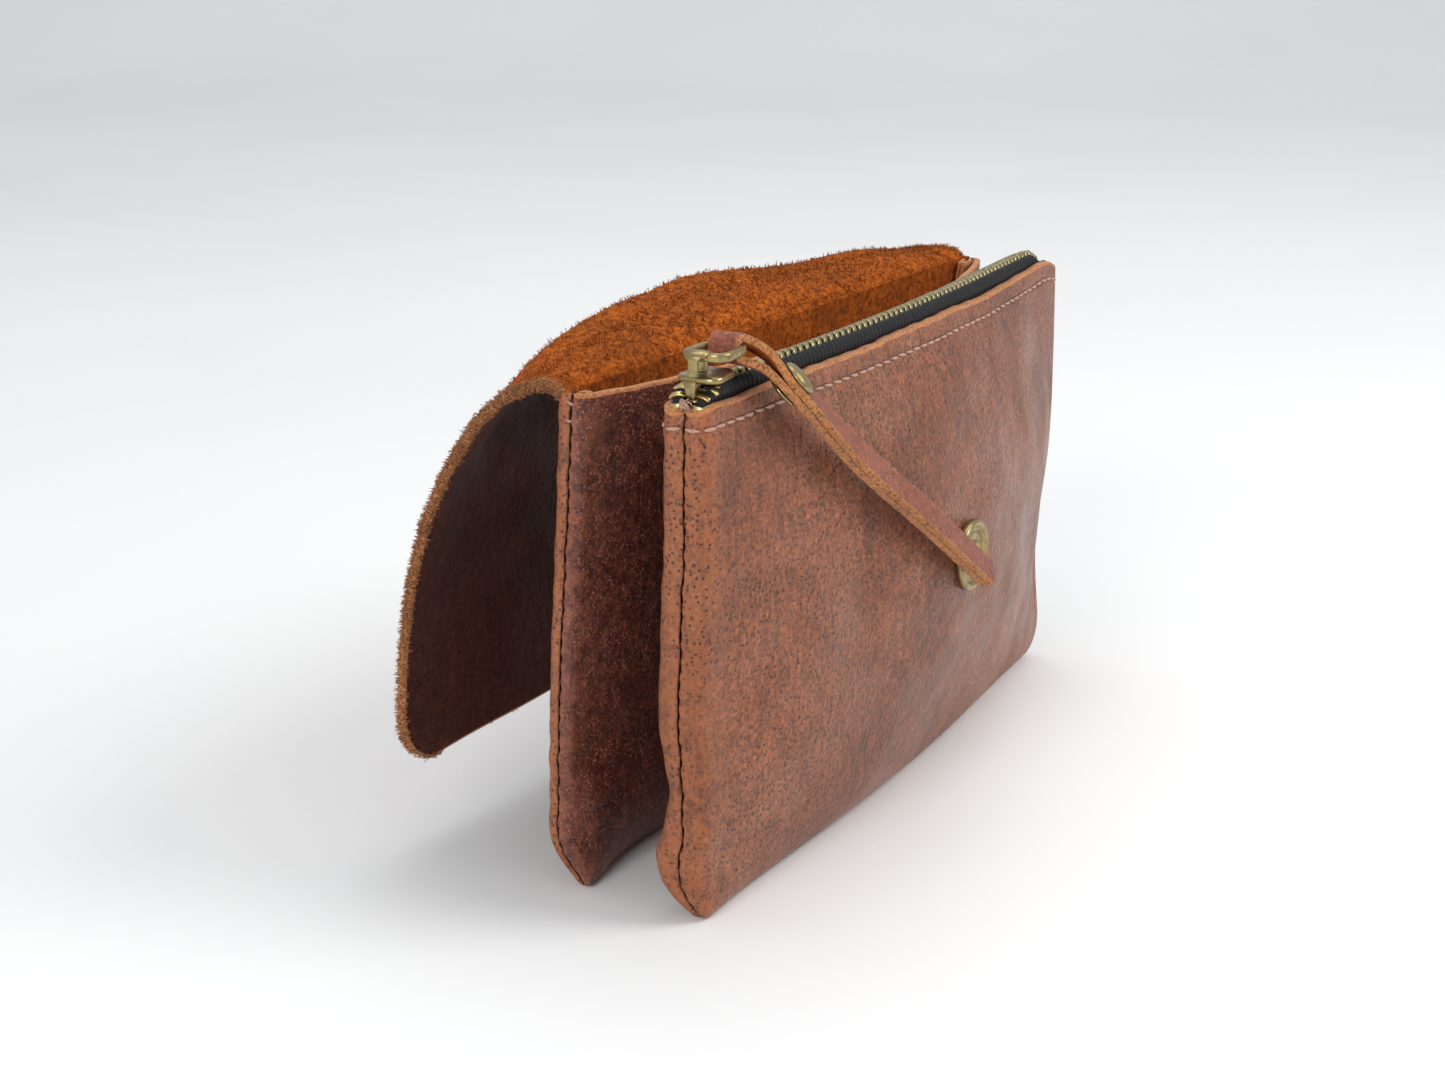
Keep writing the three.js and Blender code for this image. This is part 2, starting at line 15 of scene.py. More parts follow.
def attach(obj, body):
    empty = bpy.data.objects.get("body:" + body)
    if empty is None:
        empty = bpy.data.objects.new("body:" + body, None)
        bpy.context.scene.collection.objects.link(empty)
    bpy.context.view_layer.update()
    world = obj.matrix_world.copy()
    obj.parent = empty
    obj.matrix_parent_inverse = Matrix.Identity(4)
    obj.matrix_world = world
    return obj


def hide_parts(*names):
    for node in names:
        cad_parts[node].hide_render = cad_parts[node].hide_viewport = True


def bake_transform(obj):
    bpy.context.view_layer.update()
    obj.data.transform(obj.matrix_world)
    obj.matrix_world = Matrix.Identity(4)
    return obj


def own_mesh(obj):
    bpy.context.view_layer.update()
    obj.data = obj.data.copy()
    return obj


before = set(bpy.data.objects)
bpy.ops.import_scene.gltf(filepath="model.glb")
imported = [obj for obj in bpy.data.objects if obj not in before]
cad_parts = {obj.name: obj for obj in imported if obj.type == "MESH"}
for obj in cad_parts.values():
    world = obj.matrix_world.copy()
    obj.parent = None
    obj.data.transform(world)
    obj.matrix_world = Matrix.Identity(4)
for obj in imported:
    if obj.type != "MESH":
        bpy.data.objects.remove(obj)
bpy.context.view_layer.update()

MM = 0.001
ORIGIN_Y = 4.45                  # the CAD frame's shift along Y
random.seed(7)
rng = np.random.default_rng(7)

# Driving sizes, the same as the CAD part's, in millimetres
ZIP_HALF = 95.0
ZIP_TOP = 106.0
ZIP_DEPTH = 4.8
ZIP_BOW = 3.0
FRONT_BULGE = 12.2
FRONT_FULLNESS = 0.9
BACK_BULGE = 2.5
LEATHER = 1.8
POCKET_HALF = 92.5
POCKET_TOP = 105.5
POCKET_Y = 25.3
POCKET_TURN = math.radians(-2.6)
POCKET_LEAN = 5.0
POCKET_BOW = 14.2
POCKET_BOW_FALL = 0.55
POCKET_BOW_SHAPE = 2.8
STITCH_Z = 101.9
CHAIN_Z = 108.7
CHAIN_START = -87.5
CHAIN_END = 88.0
TOOTH_PITCH = 2.6
CHAIN_ROLL = math.radians(22)    # the chain leans back, so its front edge is the higher one
SLIDER_X = -88.5
SLIDER_Y = -2.0
SLIDER_TOP = 111.8
RING = {"x": -87.4, "y": -3.0, "z": 115.5, "half_length": 5.9, "half_width": 5.0}
CROWN_X = -92.6
SNAP_Z = 55.0
FLAP_HALF = 92.0
FLAP_THICK = 2.0
FLAP_HINGE = 105.8
FLAP_LENGTHS = [21, 21, 24, 24, 26]
FLAP_ANGLES = [5, -47, -73, -86, -95]
FLAP_LAST = len(FLAP_LENGTHS) - 1
FLAP_CORNER = 13.0

# Sizes that only the looks use, in millimetres
SEAM_LIP = 0.48                  # radius of the rolled lip at a panel's seam
SEAM_GAP = 0.12                  # half the groove between two panels
SEAM_PITCH = 3.4                 # from one stitch in the seam to the next
RIM_ROUND = 0.45                 # rounding of the cut rims
PANEL_STATIONS = 110             # points along the straight part of a panel's face
STITCH_PITCH = 3.75              # top stitches: from one to the next, and the length that shows
STITCH_SEEN = 3.25
FOLD_LOW = 58.0                  # the leather folded into the pocket: its low end, width, half thickness
FOLD_WIDTH = 5.2
FOLD_HALF_THICK = 0.42
STOP_LOW = 107.6
STOP_HIGH = 109.8
KNOT_CENTRE = (-94.0, 0.1, 106.1)
KNOT_STRANDS = 26
PLATE_THICK = 1.35               # the slider's upper plate
UNDER_PLATE = (106.4, 107.2)     # bottom and top of the plate under the teeth
NECK_AT = (-91.8, -0.6)
CROWN_HALF = 2.0
CROWN_PEAK = 116.65
RING_INSET = 0.75                # from the ring's outline to the middle of its band
RING_BAND = (0.78, 0.88)         # half width and half height of the band
FLAP_SNAP_X = 2.1
FLAP_SNAP_ALONG = 19.4           # from the last hinge
LINE_POINTS = 400                # points on the strap's and the flap's guiding lines
TAPE_START = -90.8
TAPE_END = 91.0
TAPE_STEP = 0.22
TAPE_THICK = 0.5
TAPE_RIB = 0.36
TAPE_RIB_PITCH = 1.65
TAPE_RIB_SLANT = 0.5
CORD_POINTS = 60                 # the bunched ends of the tapes: points along, half width, half height
CORD_HALF_WIDTH = 0.95
CORD_HALF_HEIGHT = 1.45
FLAP_SNAP_SEGMENTS = 72
FLAP_COLUMNS = 250               # points across each face of the flap
FLAP_EDGE = 0.9                  # how far the flap's rounded edge reaches
FLAP_EDGE_POINTS = 7
FLAP_ROW_PITCH = 0.85
FIBRES_ON_FACE = 5200
FIBRES_ON_EDGE = 3000
FIBRE_LENGTH = 0.95


# ---------------------------------------------------------------- small maths

def mix(a, b, t):
    return a + (b - a) * t


def unit(v):
    return v / np.linalg.norm(v)


def unit_rows(v):
    return v / np.linalg.norm(v, axis=-1, keepdims=True)


def travelled(line):
    """The distance run along a line of points, at each of them."""
    return np.concatenate([[0], np.cumsum(np.linalg.norm(np.diff(line, axis=0), axis=1))])


def spaced(line, count):
    """The same line with evenly spaced points."""
    run = travelled(line)
    at = np.linspace(0, run[-1], count)
    return np.column_stack([np.interp(at, run, line[:, k]) for k in range(line.shape[1])])


def relax(line):
    """Draws each inner point of a line towards its neighbours, in place."""
    line[1:-1] = 0.25 * line[:-2] + 0.5 * line[1:-1] + 0.25 * line[2:]


def turning(start, end, count):
    """Angles from start to end, without the two of them."""
    return np.linspace(start, end, count + 2)[1:-1]


def smooth(t):
    """From 0 to 1 as t does, level at both ends."""
    t = np.clip(t, 0, 1)
    return t * t * (3 - 2 * t)


def bell(value, centre, width):
    """1 at the centre, falling away on both sides."""
    return np.exp(-(((value - centre) / width) ** 2))


def bow(x):
    """How far the zip pouch's rim curves forward."""
    return -ZIP_BOW * np.clip(1 - (x / ZIP_HALF) ** 2, 0, None) ** 2


def swell(x, z, seed, size):
    """A soft, seeded unevenness between about -1 and 1, with features of that size."""
    draw = np.random.default_rng(seed)
    total = 0
    for _ in range(7):
        angle = draw.uniform(0, 2 * math.pi)
        length = size * draw.uniform(0.7, 1.6)
        along = x * math.cos(angle) + z * math.sin(angle)
        total = total + np.sin(2 * math.pi * along / length + draw.uniform(0, 6.28))
    return total / 3.5


def grit(points, size, seed=0.0):
    """Fine noise at each point, with features of that size."""
    scaled = points / size + seed
    return np.array([noise.noise(Vector(p)) for p in scaled.reshape(-1, 3)]).reshape(points.shape[:-1])


# ---------------------------------------------------------------- meshes

def link(name, data):
    """An object in the scene that shows the data."""
    made = bpy.data.objects.new(name, data)
    bpy.context.scene.collection.objects.link(made)
    return made


def keep_values(mesh, name, kind, values):
    """One value for each point of the mesh, for its material to read."""
    made = mesh.attributes.new(name, kind, "POINT")
    key = "vector" if kind == "FLOAT_VECTOR" else "value"
    made.data.foreach_set(key, np.asarray(values, np.float32).ravel())


def make_object(name, points, faces, materials, slots, wear=None, flat_slot=None):
    """One mesh from points in the CAD part's millimetres, which stay with it for its texture.

    Faces in the flat slot and faces with more than four corners aren't shaded smooth.
    """
    points = np.asarray(points, float)
    placed = points + np.array([0, ORIGIN_Y, 0])
    mesh = bpy.data.meshes.new(name)
    mesh.from_pydata((placed * MM).tolist(), [], [list(map(int, f)) for f in faces])
    for material in materials:
        mesh.materials.append(material)
    mesh.polygons.foreach_set("material_index", np.asarray(slots, np.int32))
    soft = [len(f) <= 4 and slot != flat_slot for f, slot in zip(faces, slots)]
    mesh.polygons.foreach_set("use_smooth", soft)
    keep_values(mesh, "rest_mm", "FLOAT_VECTOR", points)
    keep_values(mesh, "wear", "FLOAT", np.zeros(len(points)) if wear is None else wear)
    bm = bmesh.new()
    bm.from_mesh(mesh)
    bmesh.ops.recalc_face_normals(bm, faces=bm.faces)
    bm.to_mesh(mesh)
    bm.free()
    return link(name, mesh)


def place_piece(obj, body, slot, *nodes):
    """The piece rides on its body and stands for the CAD nodes, which are hidden. The slot is not used."""
    if body:
        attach(obj, body)
    if nodes:
        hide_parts(*nodes)
    return obj


class Build:
    """Collects several closed shapes into one mesh."""

    def __init__(self):
        self.points, self.faces, self.slots, self.wear, self.count = [], [], [], [], 0

    def add(self, points, faces, slot=0, wear=None):
        points = np.asarray(points, float).reshape(-1, 3)
        self.points.append(points)
        self.faces += [[i + self.count for i in f] for f in faces]
        self.slots += slot if isinstance(slot, list) else [slot] * len(faces)
        self.wear.append(np.zeros(len(points)) if wear is None else np.asarray(wear, float).ravel())
        self.count += len(points)
        return self

    def finish(self, name, *materials, flat_slot=None):
        points, wear = np.concatenate(self.points), np.concatenate(self.wear)
        return make_object(name, points, self.faces, materials, self.slots, wear, flat_slot)

    def place(self, name, material, body, slot, *nodes):
        """The mesh as a piece in one material."""
        return place_piece(self.finish(name, material), body, slot, *nodes)


def ring_faces(rows, columns):
    """Quads between closed rings that follow each other."""
    faces = []
    for r in range(rows - 1):
        for c in range(columns):
            d = (c + 1) % columns
            a, b = r * columns, (r + 1) * columns
            faces.append([a + c, a + d, b + d, b + c])
    return faces


def swept(rings):
    """A closed shape through rings of points, with one face on each end."""
    rings = np.asarray(rings, float)
    rows, columns = rings.shape[:2]
    faces = ring_faces(rows, columns)
    faces.append(list(range(columns))[::-1])
    faces.append(list(range((rows - 1) * columns, rows * columns)))
    return rings.reshape(-1, 3), faces


def two_sided(rings, rim_slot, rim_rows):
    """A sheet as rings that run over its outer face (slot 0) and back over its inner one (slot 1).

    The last rows and the cap over them take the rim's slot.
    """
    rows, columns = rings.shape[:2]
    half = columns // 2
    faces = ring_faces(rows, columns)
    slots = []
    for r in range(rows - 1):
        on_rim = r >= rows - 1 - rim_rows
        for c in range(columns):
            face_slot = 0 if c < half or c == columns - 1 else 1
            slots.append(rim_slot if on_rim else face_slot)
    last = (rows - 1) * columns
    for c in range(half - 1):
        faces.append([c, c + 1, columns - 2 - c, columns - 1 - c])
        slots.append(0)
        faces.append([last + c, last + c + 1, last + columns - 2 - c, last + columns - 1 - c])
        slots.append(rim_slot)
    return rings.reshape(-1, 3), faces, slots


def revolved(profile, segments):
    """A solid of revolution about +Z through (radius, height) points that start and end on the axis."""
    inner = profile[1:-1]
    angles = np.linspace(0, 2 * math.pi, segments, endpoint=False)
    rings = [[[r * math.cos(a), r * math.sin(a), h] for a in angles] for r, h in inner]
    rows = len(inner)
    faces = ring_faces(rows, segments)
    ends = [[0, 0, profile[0][1]], [0, 0, profile[-1][1]]]
    points = np.concatenate([np.reshape(rings, (-1, 3)), ends])
    low, high = rows * segments, rows * segments + 1
    last = (rows - 1) * segments
    for c in range(segments):
        d = (c + 1) % segments
        faces.append([low, d, c])
        faces.append([high, last + c, last + d])
    return points, faces


def slab(outline, low, high, bevel):
    """A plate on an outline of (x, y) points, with softened edges."""
    outline = np.asarray(outline, float)
    centre = outline.mean(axis=0)
    reach = np.linalg.norm(outline - centre, axis=1, keepdims=True)
    inset = outline - (outline - centre) / reach * bevel
    rows = []
    for shape, z in ((inset, low), (outline, low + bevel), (outline, high - bevel), (inset, high)):
        rows.append(np.column_stack([shape, np.full(len(shape), z)]))
    return swept(rows)


def rounded_rectangle(half_x, half_y, radius, steps):
    """(x, y) points round a rectangle about the origin, with that many points on each corner."""
    points = []
    corners = ((1, 1, 0), (-1, 1, 90), (-1, -1, 180), (1, -1, 270))
    for sx, sy, start in corners:
        for a in np.linspace(0, math.pi / 2, steps):
            angle = math.radians(start) + a
            x = sx * (half_x - radius) + radius * math.cos(angle)
            y = sy * (half_y - radius) + radius * math.sin(angle)
            points.append((x, y))
    return np.array(points)


def stitch(start, end, out, radius, sink, rise):
    """One stitch: a short bowed strand whose two ends go down into the leather."""
    start, end, out = (np.asarray(v, float) for v in (start, end, out))
    length = np.linalg.norm(end - start)
    along = (end - start) / length
    side = np.cross(along, out)
    rings = []
    for u in np.linspace(0, 1, 9):
        lift = rise * math.sin(math.pi * u) ** 0.6 - sink
        thick = radius * (0.35 + 0.65 * math.sin(math.pi * u) ** 0.5)
        centre = start + along * length * u + out * lift
        ring = []
        for a in np.linspace(0, 2 * math.pi, 10, endpoint=False):
            twist = 1 + 0.12 * math.cos(2 * a + 9 * u)
            ring.append(centre + thick * twist * (math.cos(a) * out * 0.85 + math.sin(a) * side))
        rings.append(ring)
    return swept(rings)


# ---------------------------------------------------------------- materials

class Shader:
    """A material with short ways to add and join its nodes."""

    def __init__(self, name):
        self.material = bpy.data.materials.new(name)
        self.material.use_nodes = True
        self.tree = self.material.node_tree
        self.tree.nodes.clear()
        out = self.tree.nodes.new("ShaderNodeOutputMaterial")
        self.bsdf = self.tree.nodes.new("ShaderNodeBsdfPrincipled")
        self.tree.links.new(self.bsdf.outputs[0], out.inputs[0])

    def node(self, kind, inputs=None, **settings):
        made = self.tree.nodes.new(kind)
        for key, value in settings.items():
            setattr(made, key, value)
        for key, value in (inputs or {}).items():
            self.put(made.inputs[key], value)
        return made

    def put(self, socket, value):
        if isinstance(value, bpy.types.NodeSocket):
            self.tree.links.new(value, socket)
        else:
            socket.default_value = value

    def set(self, **values):
        for key, value in values.items():
            self.put(self.bsdf.inputs[key.replace("_", " ")], value)

    def place(self, stretch=(1, 1, 1), turn=(0, 0, 0)):
        """The CAD part's millimetres at each point, stretched and turned."""
        at = self.node("ShaderNodeAttribute", attribute_name="rest_mm").outputs["Vector"]
        mapping = self.node("ShaderNodeMapping", {"Vector": at, "Rotation": turn, "Scale": stretch})
        return mapping.outputs[0]

    def noise(self, scale, detail=3.0, rough=0.55, at=None, distort=0.0):
        at = at if at is not None else self.place()
        made = self.node("ShaderNodeTexNoise", {
            "Vector": at, "Scale": scale, "Detail": detail, "Roughness": rough, "Distortion": distort,
        })
        return made.outputs["Fac"]

    def cells(self, scale, feature="F1"):
        made = self.node("ShaderNodeTexVoronoi", {"Vector": self.place(), "Scale": scale}, feature=feature)
        return made.outputs["Distance"]

    def ramp(self, value, stops):
        made = self.node("ShaderNodeValToRGB", {"Fac": value})
        ramp = made.color_ramp
        while len(ramp.elements) < len(stops):
            ramp.elements.new(0.5)
        for element, (at, colour) in zip(ramp.elements, stops):
            element.position = at
            element.color = (*colour, 1) if hasattr(colour, "__len__") else (colour, colour, colour, 1)
        return made.outputs["Color"]

    def math(self, operation, a, b=0.0):
        made = self.node("ShaderNodeMath", operation=operation)
        self.put(made.inputs[0], a)
        self.put(made.inputs[1], b)
        return made.outputs[0]

    def blend(self, share, a, b, mode="MIX"):
        made = self.node("ShaderNodeMix", data_type="RGBA", blend_type=mode)
        self.put(made.inputs[0], share)
        self.put(made.inputs[6], a if isinstance(a, bpy.types.NodeSocket) else (*a, 1))
        self.put(made.inputs[7], b if isinstance(b, bpy.types.NodeSocket) else (*b, 1))
        return made.outputs[2]

    def clamped(self, name, sign):
        """The part of an attribute above 0, or below it with sign -1."""
        value = self.node("ShaderNodeAttribute", attribute_name=name).outputs["Fac"]
        made = self.node("ShaderNodeMath", operation="MULTIPLY", use_clamp=True)
        self.put(made.inputs[0], value)
        self.put(made.inputs[1], float(sign))
        return made.outputs[0]

    def bump(self, layers):
        """Several (height, millimetres) layers of relief, one over the other."""
        normal = None
        for height, depth in layers:
            made = self.node("ShaderNodeBump", {"Height": height, "Distance": depth * MM, "Strength": 1.0})
            if normal is not None:
                self.put(made.inputs["Normal"], normal)
            normal = made.outputs["Normal"]
        self.set(Normal=normal)


def mix_colour(a, b, t):
    return tuple(mix(p, q, t) for p, q in zip(a, b))


def grain_leather(name, dark, middle, light, worn, specks=0.0, pores=0.85, shine=(0.40, 0.62), gloss=0.45):
    """Waxed pull-up leather: mottled, with pores, fine grain, scratches, lighter worn places and painted
    shade in the seam's slits and under the stitches.
    """
    s = Shader(name)
    clouds = s.noise(0.032, 4, 0.55, distort=0.8)
    colour = s.ramp(clouds, [(0.32, dark), (0.50, middle), (0.68, light)])
    mottle = s.noise(0.42, 7, 0.72)
    colour = s.blend(s.ramp(mottle, [(0.46, 0.0), (0.64, 0.36)]), colour, worn)
    speckle = s.noise(1.15, 4, 0.8)
    colour = s.blend(0.85, colour, s.ramp(speckle, [(0.36, 0.17), (0.50, 0.50), (0.64, 0.80)]), "OVERLAY")
    streak = s.noise(0.9, 3, 0.65, s.place((1, 1, 0.13)))
    colour = s.blend(0.5, colour, s.ramp(streak, [(0.38, 0.32), (0.62, 0.66)]), "OVERLAY")
    rubbed = s.clamped("wear", 1)
    rub = s.math("MULTIPLY", rubbed, s.ramp(s.noise(0.28, 6, 0.72), [(0.42, 0.15), (0.56, 1.0)]))
    colour = s.blend(rub, colour, worn)
    pore = s.cells(0.85)
    where = s.ramp(s.noise(0.035, 2, 0.5), [(0.36, 0.35), (0.54, 1.0)])
    pit = s.math("MULTIPLY", s.ramp(pore, [(0.20, 1.0), (0.34, 0.0)]), s.math("MULTIPLY", where, pores))
    colour = s.blend(pit, colour, tuple(0.25 * c for c in dark))
    if specks:
        spot = s.ramp(s.cells(1.45), [(0.18, specks), (0.36, 0.0)])
        few = s.math("MULTIPLY", spot, s.ramp(s.noise(0.2, 3, 0.6), [(0.40, 0.10), (0.56, 1.0)]))
        colour = s.blend(few, colour, tuple(1.5 * c for c in worn))
    long_noise = s.noise(0.42, 2, 0.4, s.place((1, 1, 0.05), (0, 0.9, 0)))
    scratch = s.ramp(long_noise, [(0.695, 0.0), (0.71, 0.55), (0.725, 0.0)])
    colour = s.blend(scratch, colour, worn)
    # Painted shade: below 0 the colour goes nearly black, for the slits of the seams and the groove under
    # the top stitches.
    colour = s.blend(s.clamped("wear", -1), colour, tuple(0.06 * c for c in dark))
    s.set(Base_Color=colour, Specular_IOR_Level=gloss, Sheen_Weight=0.03, Sheen_Roughness=0.5)
    s.set(Roughness=s.ramp(s.noise(0.05, 5, 0.62), [(0.36, shine[0]), (0.64, shine[1])]))
    pebble = s.cells(1.1, feature="SMOOTH_F1")
    s.bump([(pebble, 0.22), (speckle, 0.12), (s.noise(0.3, 5, 0.6), 0.42), (streak, 0.14)])
    return s.material


def suede_leather(name, dark, light):
    """The flesh side: clumps of short fibres that catch the light."""
    s = Shader(name)
    clump = s.noise(0.62, 5, 0.72, distort=0.9)
    broad = s.noise(0.05, 3, 0.6)
    colour = s.ramp(clump, [(0.38, dark), (0.60, light)])
    shade = s.ramp(broad, [(0.38, 0.34), (0.62, 0.60)])
    colour = s.blend(0.7, colour, shade, "OVERLAY")
    tiny = s.noise(1.9, 4, 0.8)
    colour = s.blend(0.8, colour, s.ramp(tiny, [(0.3, 0.30), (0.7, 0.70)]), "OVERLAY")
    s.set(Base_Color=colour, Roughness=0.95, Specular_IOR_Level=0.10)
    s.set(Sheen_Weight=0.10, Sheen_Roughness=0.5, Sheen_Tint=(1.0, 0.55, 0.25, 1))
    s.bump([(clump, 0.55), (tiny, 0.2)])
    return s.material


def raw_edge(name, dark, light):
    """A cut edge: pale fibres with small dark gaps between them."""
    s = Shader(name)
    grains = s.noise(1.5, 5, 0.8)
    colour = s.ramp(grains, [(0.40, dark), (0.47, mix_colour(dark, light, 0.6)), (0.58, light)])
    broad = s.noise(0.12, 3, 0.5)
    colour = s.blend(0.6, colour, s.ramp(broad, [(0.3, 0.38), (0.7, 0.6)]), "OVERLAY")
    s.set(Base_Color=colour, Roughness=0.85, Specular_IOR_Level=0.2, Sheen_Weight=0.25)
    s.bump([(grains, 0.45), (s.noise(4.0, 3, 0.7), 0.1)])
    return s.material


def tape_cloth(name):
    """Dense dark twill with a faint lift on each yarn and painted shade in the valleys between its ribs."""
    s = Shader(name)
    yarn = s.noise(2.0, 4, 0.7, s.place((1.0, 2.4, 2.4)))
    colour = s.ramp(yarn, [(0.36, (0.003, 0.0033, 0.0045)), (0.64, (0.020, 0.022, 0.029))])
    # Painted shade: below 0, in the valleys between the ribs, the colour goes darker still.
    colour = s.blend(s.clamped("wear", -1), colour, (0.0015, 0.0015, 0.002))
    s.set(Base_Color=colour, Roughness=0.58, Specular_IOR_Level=0.30, Sheen_Weight=0.02, Sheen_Roughness=0.4)
    s.bump([(yarn, 0.14), (s.noise(5.0, 2, 0.6), 0.05)])
    return s.material


def antique_brass(name, bright, tarnish):
    """Brass with patches of tarnish, rubbed bright elsewhere, and painted shade in the gaps between the
    zip's teeth.
    """
    s = Shader(name)
    patches = s.noise(0.55, 5, 0.65)
    spots = s.noise(3.0, 3, 0.6)
    patchy = s.ramp(patches, [(0.42, 0.0), (0.70, 0.75)])
    cover = s.math("MULTIPLY", patchy, s.ramp(spots, [(0.3, 0.4), (0.7, 1.0)]))
    colour = s.blend(cover, bright, tarnish)
    # Painted shade: below 0, at the ends of the zip's teeth, the colour goes nearly black.
    colour = s.blend(s.clamped("wear", -1), colour, tuple(0.12 * c for c in tarnish))
    s.set(Base_Color=colour, Metallic=1.0)
    s.set(Roughness=s.ramp(patches, [(0.3, 0.22), (0.7, 0.48)]))
    s.bump([(spots, 0.02), (s.noise(0.9, 3, 0.5), 0.03)])
    return s.material


def thread_yarn(name, base, shade):
    """Twisted thread."""
    s = Shader(name)
    twist = s.noise(2.2, 2, 0.5, s.place((1.6, 1, 3.0), (0, 0.6, 0)))
    colour = s.ramp(twist, [(0.32, shade), (0.62, base)])
    s.set(Base_Color=colour, Roughness=0.62, Specular_IOR_Level=0.35, Sheen_Weight=0.2)
    s.bump([(twist, 0.14)])
    return s.material


def pale_floor(name):
    """A nearly white, matt ground."""
    s = Shader(name)
    colour = s.ramp(s.noise(0.004, 2, 0.5), [(0.3, (0.86, 0.87, 0.88)), (0.7, (0.90, 0.905, 0.91))])
    s.set(Base_Color=colour, Roughness=0.7, Specular_IOR_Level=0.25)
    return s.material


GRAIN = grain_leather(
    "zip_leather", (0.125, 0.035, 0.014), (0.205, 0.061, 0.025), (0.265, 0.095, 0.046),
    (0.38, 0.115, 0.034), shine=(0.30, 0.50),
)
# The pocket's front: a darker leather, its colour darkened further as painted shade of the narrow gap
# between the pouches.
DARK_AND_SHADED_GRAIN = grain_leather(
    "pocket_leather", (0.044, 0.008, 0.006), (0.068, 0.013, 0.009), (0.105, 0.024, 0.017),
    (0.29, 0.092, 0.048), specks=0.85, pores=0.4,
)
# The flap's grain side: the pouch's leather, its colour darkened as painted shade for the underside of the
# open flap.
SHADED_FLAP_GRAIN = grain_leather(
    "flap_grain", (0.055, 0.011, 0.007), (0.085, 0.017, 0.010), (0.120, 0.027, 0.015),
    (0.16, 0.045, 0.022), pores=0.4, shine=(0.46, 0.66), gloss=0.22,
)
STRAP_GRAIN = grain_leather(
    "strap_leather", (0.19, 0.046, 0.020), (0.235, 0.057, 0.026), (0.270, 0.072, 0.034),
    (0.32, 0.090, 0.034), pores=0.15, shine=(0.45, 0.6),
)
SUEDE = suede_leather("suede", (0.160, 0.027, 0.002), (0.520, 0.122, 0.012))
RAW_EDGE = raw_edge("raw_edge", (0.30, 0.100, 0.028), (0.68, 0.275, 0.090))
STRAP_EDGE = raw_edge("strap_edge", (0.13, 0.045, 0.012), (0.66, 0.25, 0.07))
TAPE = tape_cloth("zipper_tape_cloth")
BRASS = antique_brass("antique_brass", (0.40, 0.31, 0.145), (0.060, 0.045, 0.020))
TOOTH_BRASS = antique_brass("tooth_brass", (0.42, 0.36, 0.19), (0.085, 0.072, 0.036))
END_BRASS = antique_brass("end_tooth_brass", (0.66, 0.50, 0.22), (0.16, 0.11, 0.04))
THREAD = thread_yarn("pink_thread", (0.56, 0.34, 0.25), (0.34, 0.17, 0.12))


# ---------------------------------------------------------------- pouch panels

# half_at(z) and end_at(z) give a panel's half width and the depth of its ends. seam_at, extra_at and
# shape_at take (x, z) and give its seam plane, its bulge and its softness. place moves points into the
# part's frame. finish holds a slot's name, which is not used.
Panel = namedtuple(
    "Panel",
    "name side top half_at end_at seam_at extra_at shape_at place materials finish radius has_rim",
)


def end_profile(half_length, end_half, radius, lip, gap):
    """(x, depth) points of a panel's near end: out of the seam groove, over its lip, round the corner."""
    points = [(-half_length + lip + 0.9, gap)]
    for a in np.linspace(0, math.pi / 2, 6):
        points.append((-half_length + lip * (1 - math.sin(a)), gap + lip * (1 - math.cos(a))))
    corner_start = max(end_half - radius, gap + lip + 0.05)
    for t in np.linspace(0, 1, 4)[1:-1]:
        points.append((-half_length, mix(gap + lip, corner_start, t)))
    for a in np.linspace(0, math.pi / 2, 8):
        depth = mix(corner_start, end_half, math.sin(a))
        points.append((-half_length + radius * (1 - math.cos(a)), depth))
    return points


def panel_line(half_length, end_half, radius, lip, gap):
    """(x, depth) points along one face of a panel at one level, from the near seam to the far one."""
    near = end_profile(half_length, end_half, radius, lip, gap)
    start = -half_length + radius
    t = np.linspace(0, 1, PANEL_STATIONS)[1:-1]
    eased = mix(t, 0.5 - 0.5 * np.cos(math.pi * t), 0.6)
    middle = [(mix(start, -start, u), end_half) for u in eased]
    far = [(-x, depth) for x, depth in reversed(near)]
    return np.array(near + middle + far)


def panel_levels(top):
    """Heights of a panel's rows: close together at the bottom fold, under the stitches and at the rim."""
    bottom = [0, 0.12, 0.35, 0.7, 1.2, 1.8, 2.6, 3.6, 4.8, 6.2, 8, 10]
    body = list(np.arange(10.9, top - 6.3, 0.85))
    stitched = list(np.arange(top - 6, top - 1.4, 0.35))
    rim = [top - 1.0, top - 0.75, top - 0.5, top - 0.3, top - 0.12, top]
    return np.array(bottom + body + stitched + rim)


def seam_beat(z):
    """From 0 to 1 and back with each stitch of the seam."""
    return 0.5 + 0.5 * math.cos(2 * math.pi * z / SEAM_PITCH + 0.8 * math.sin(z / 7))


def rim_trim(p, z):
    """How far each face draws in towards the rounded rim."""
    below = p.top - z
    if below >= RIM_ROUND or not p.has_rim:
        return 0.0
    return RIM_ROUND - math.sqrt(max(0, RIM_ROUND ** 2 - (RIM_ROUND - below) ** 2))


def outer_face(p, z, line):
    """The outer face at one level: drawn in at the seam's stitches and grooved under the top stitches."""
    x, depth = line[:, 0], line[:, 1]
    body = smooth((depth - 0.6) / 1.5)
    pull = (0.12 + 0.42 * seam_beat(z)) * bell(depth, 0.4, 0.8)
    depth = depth + p.extra_at(x, z)
    x = x + pull * np.sign(-x) * (np.abs(x) > p.half_at(z) - 3)
    groove = 0.34 * bell(z, STITCH_Z, 0.5) if p.top == ZIP_TOP else 0
    return x, depth + (p.shape_at(x, z) * body - groove * body) - rim_trim(p, z)


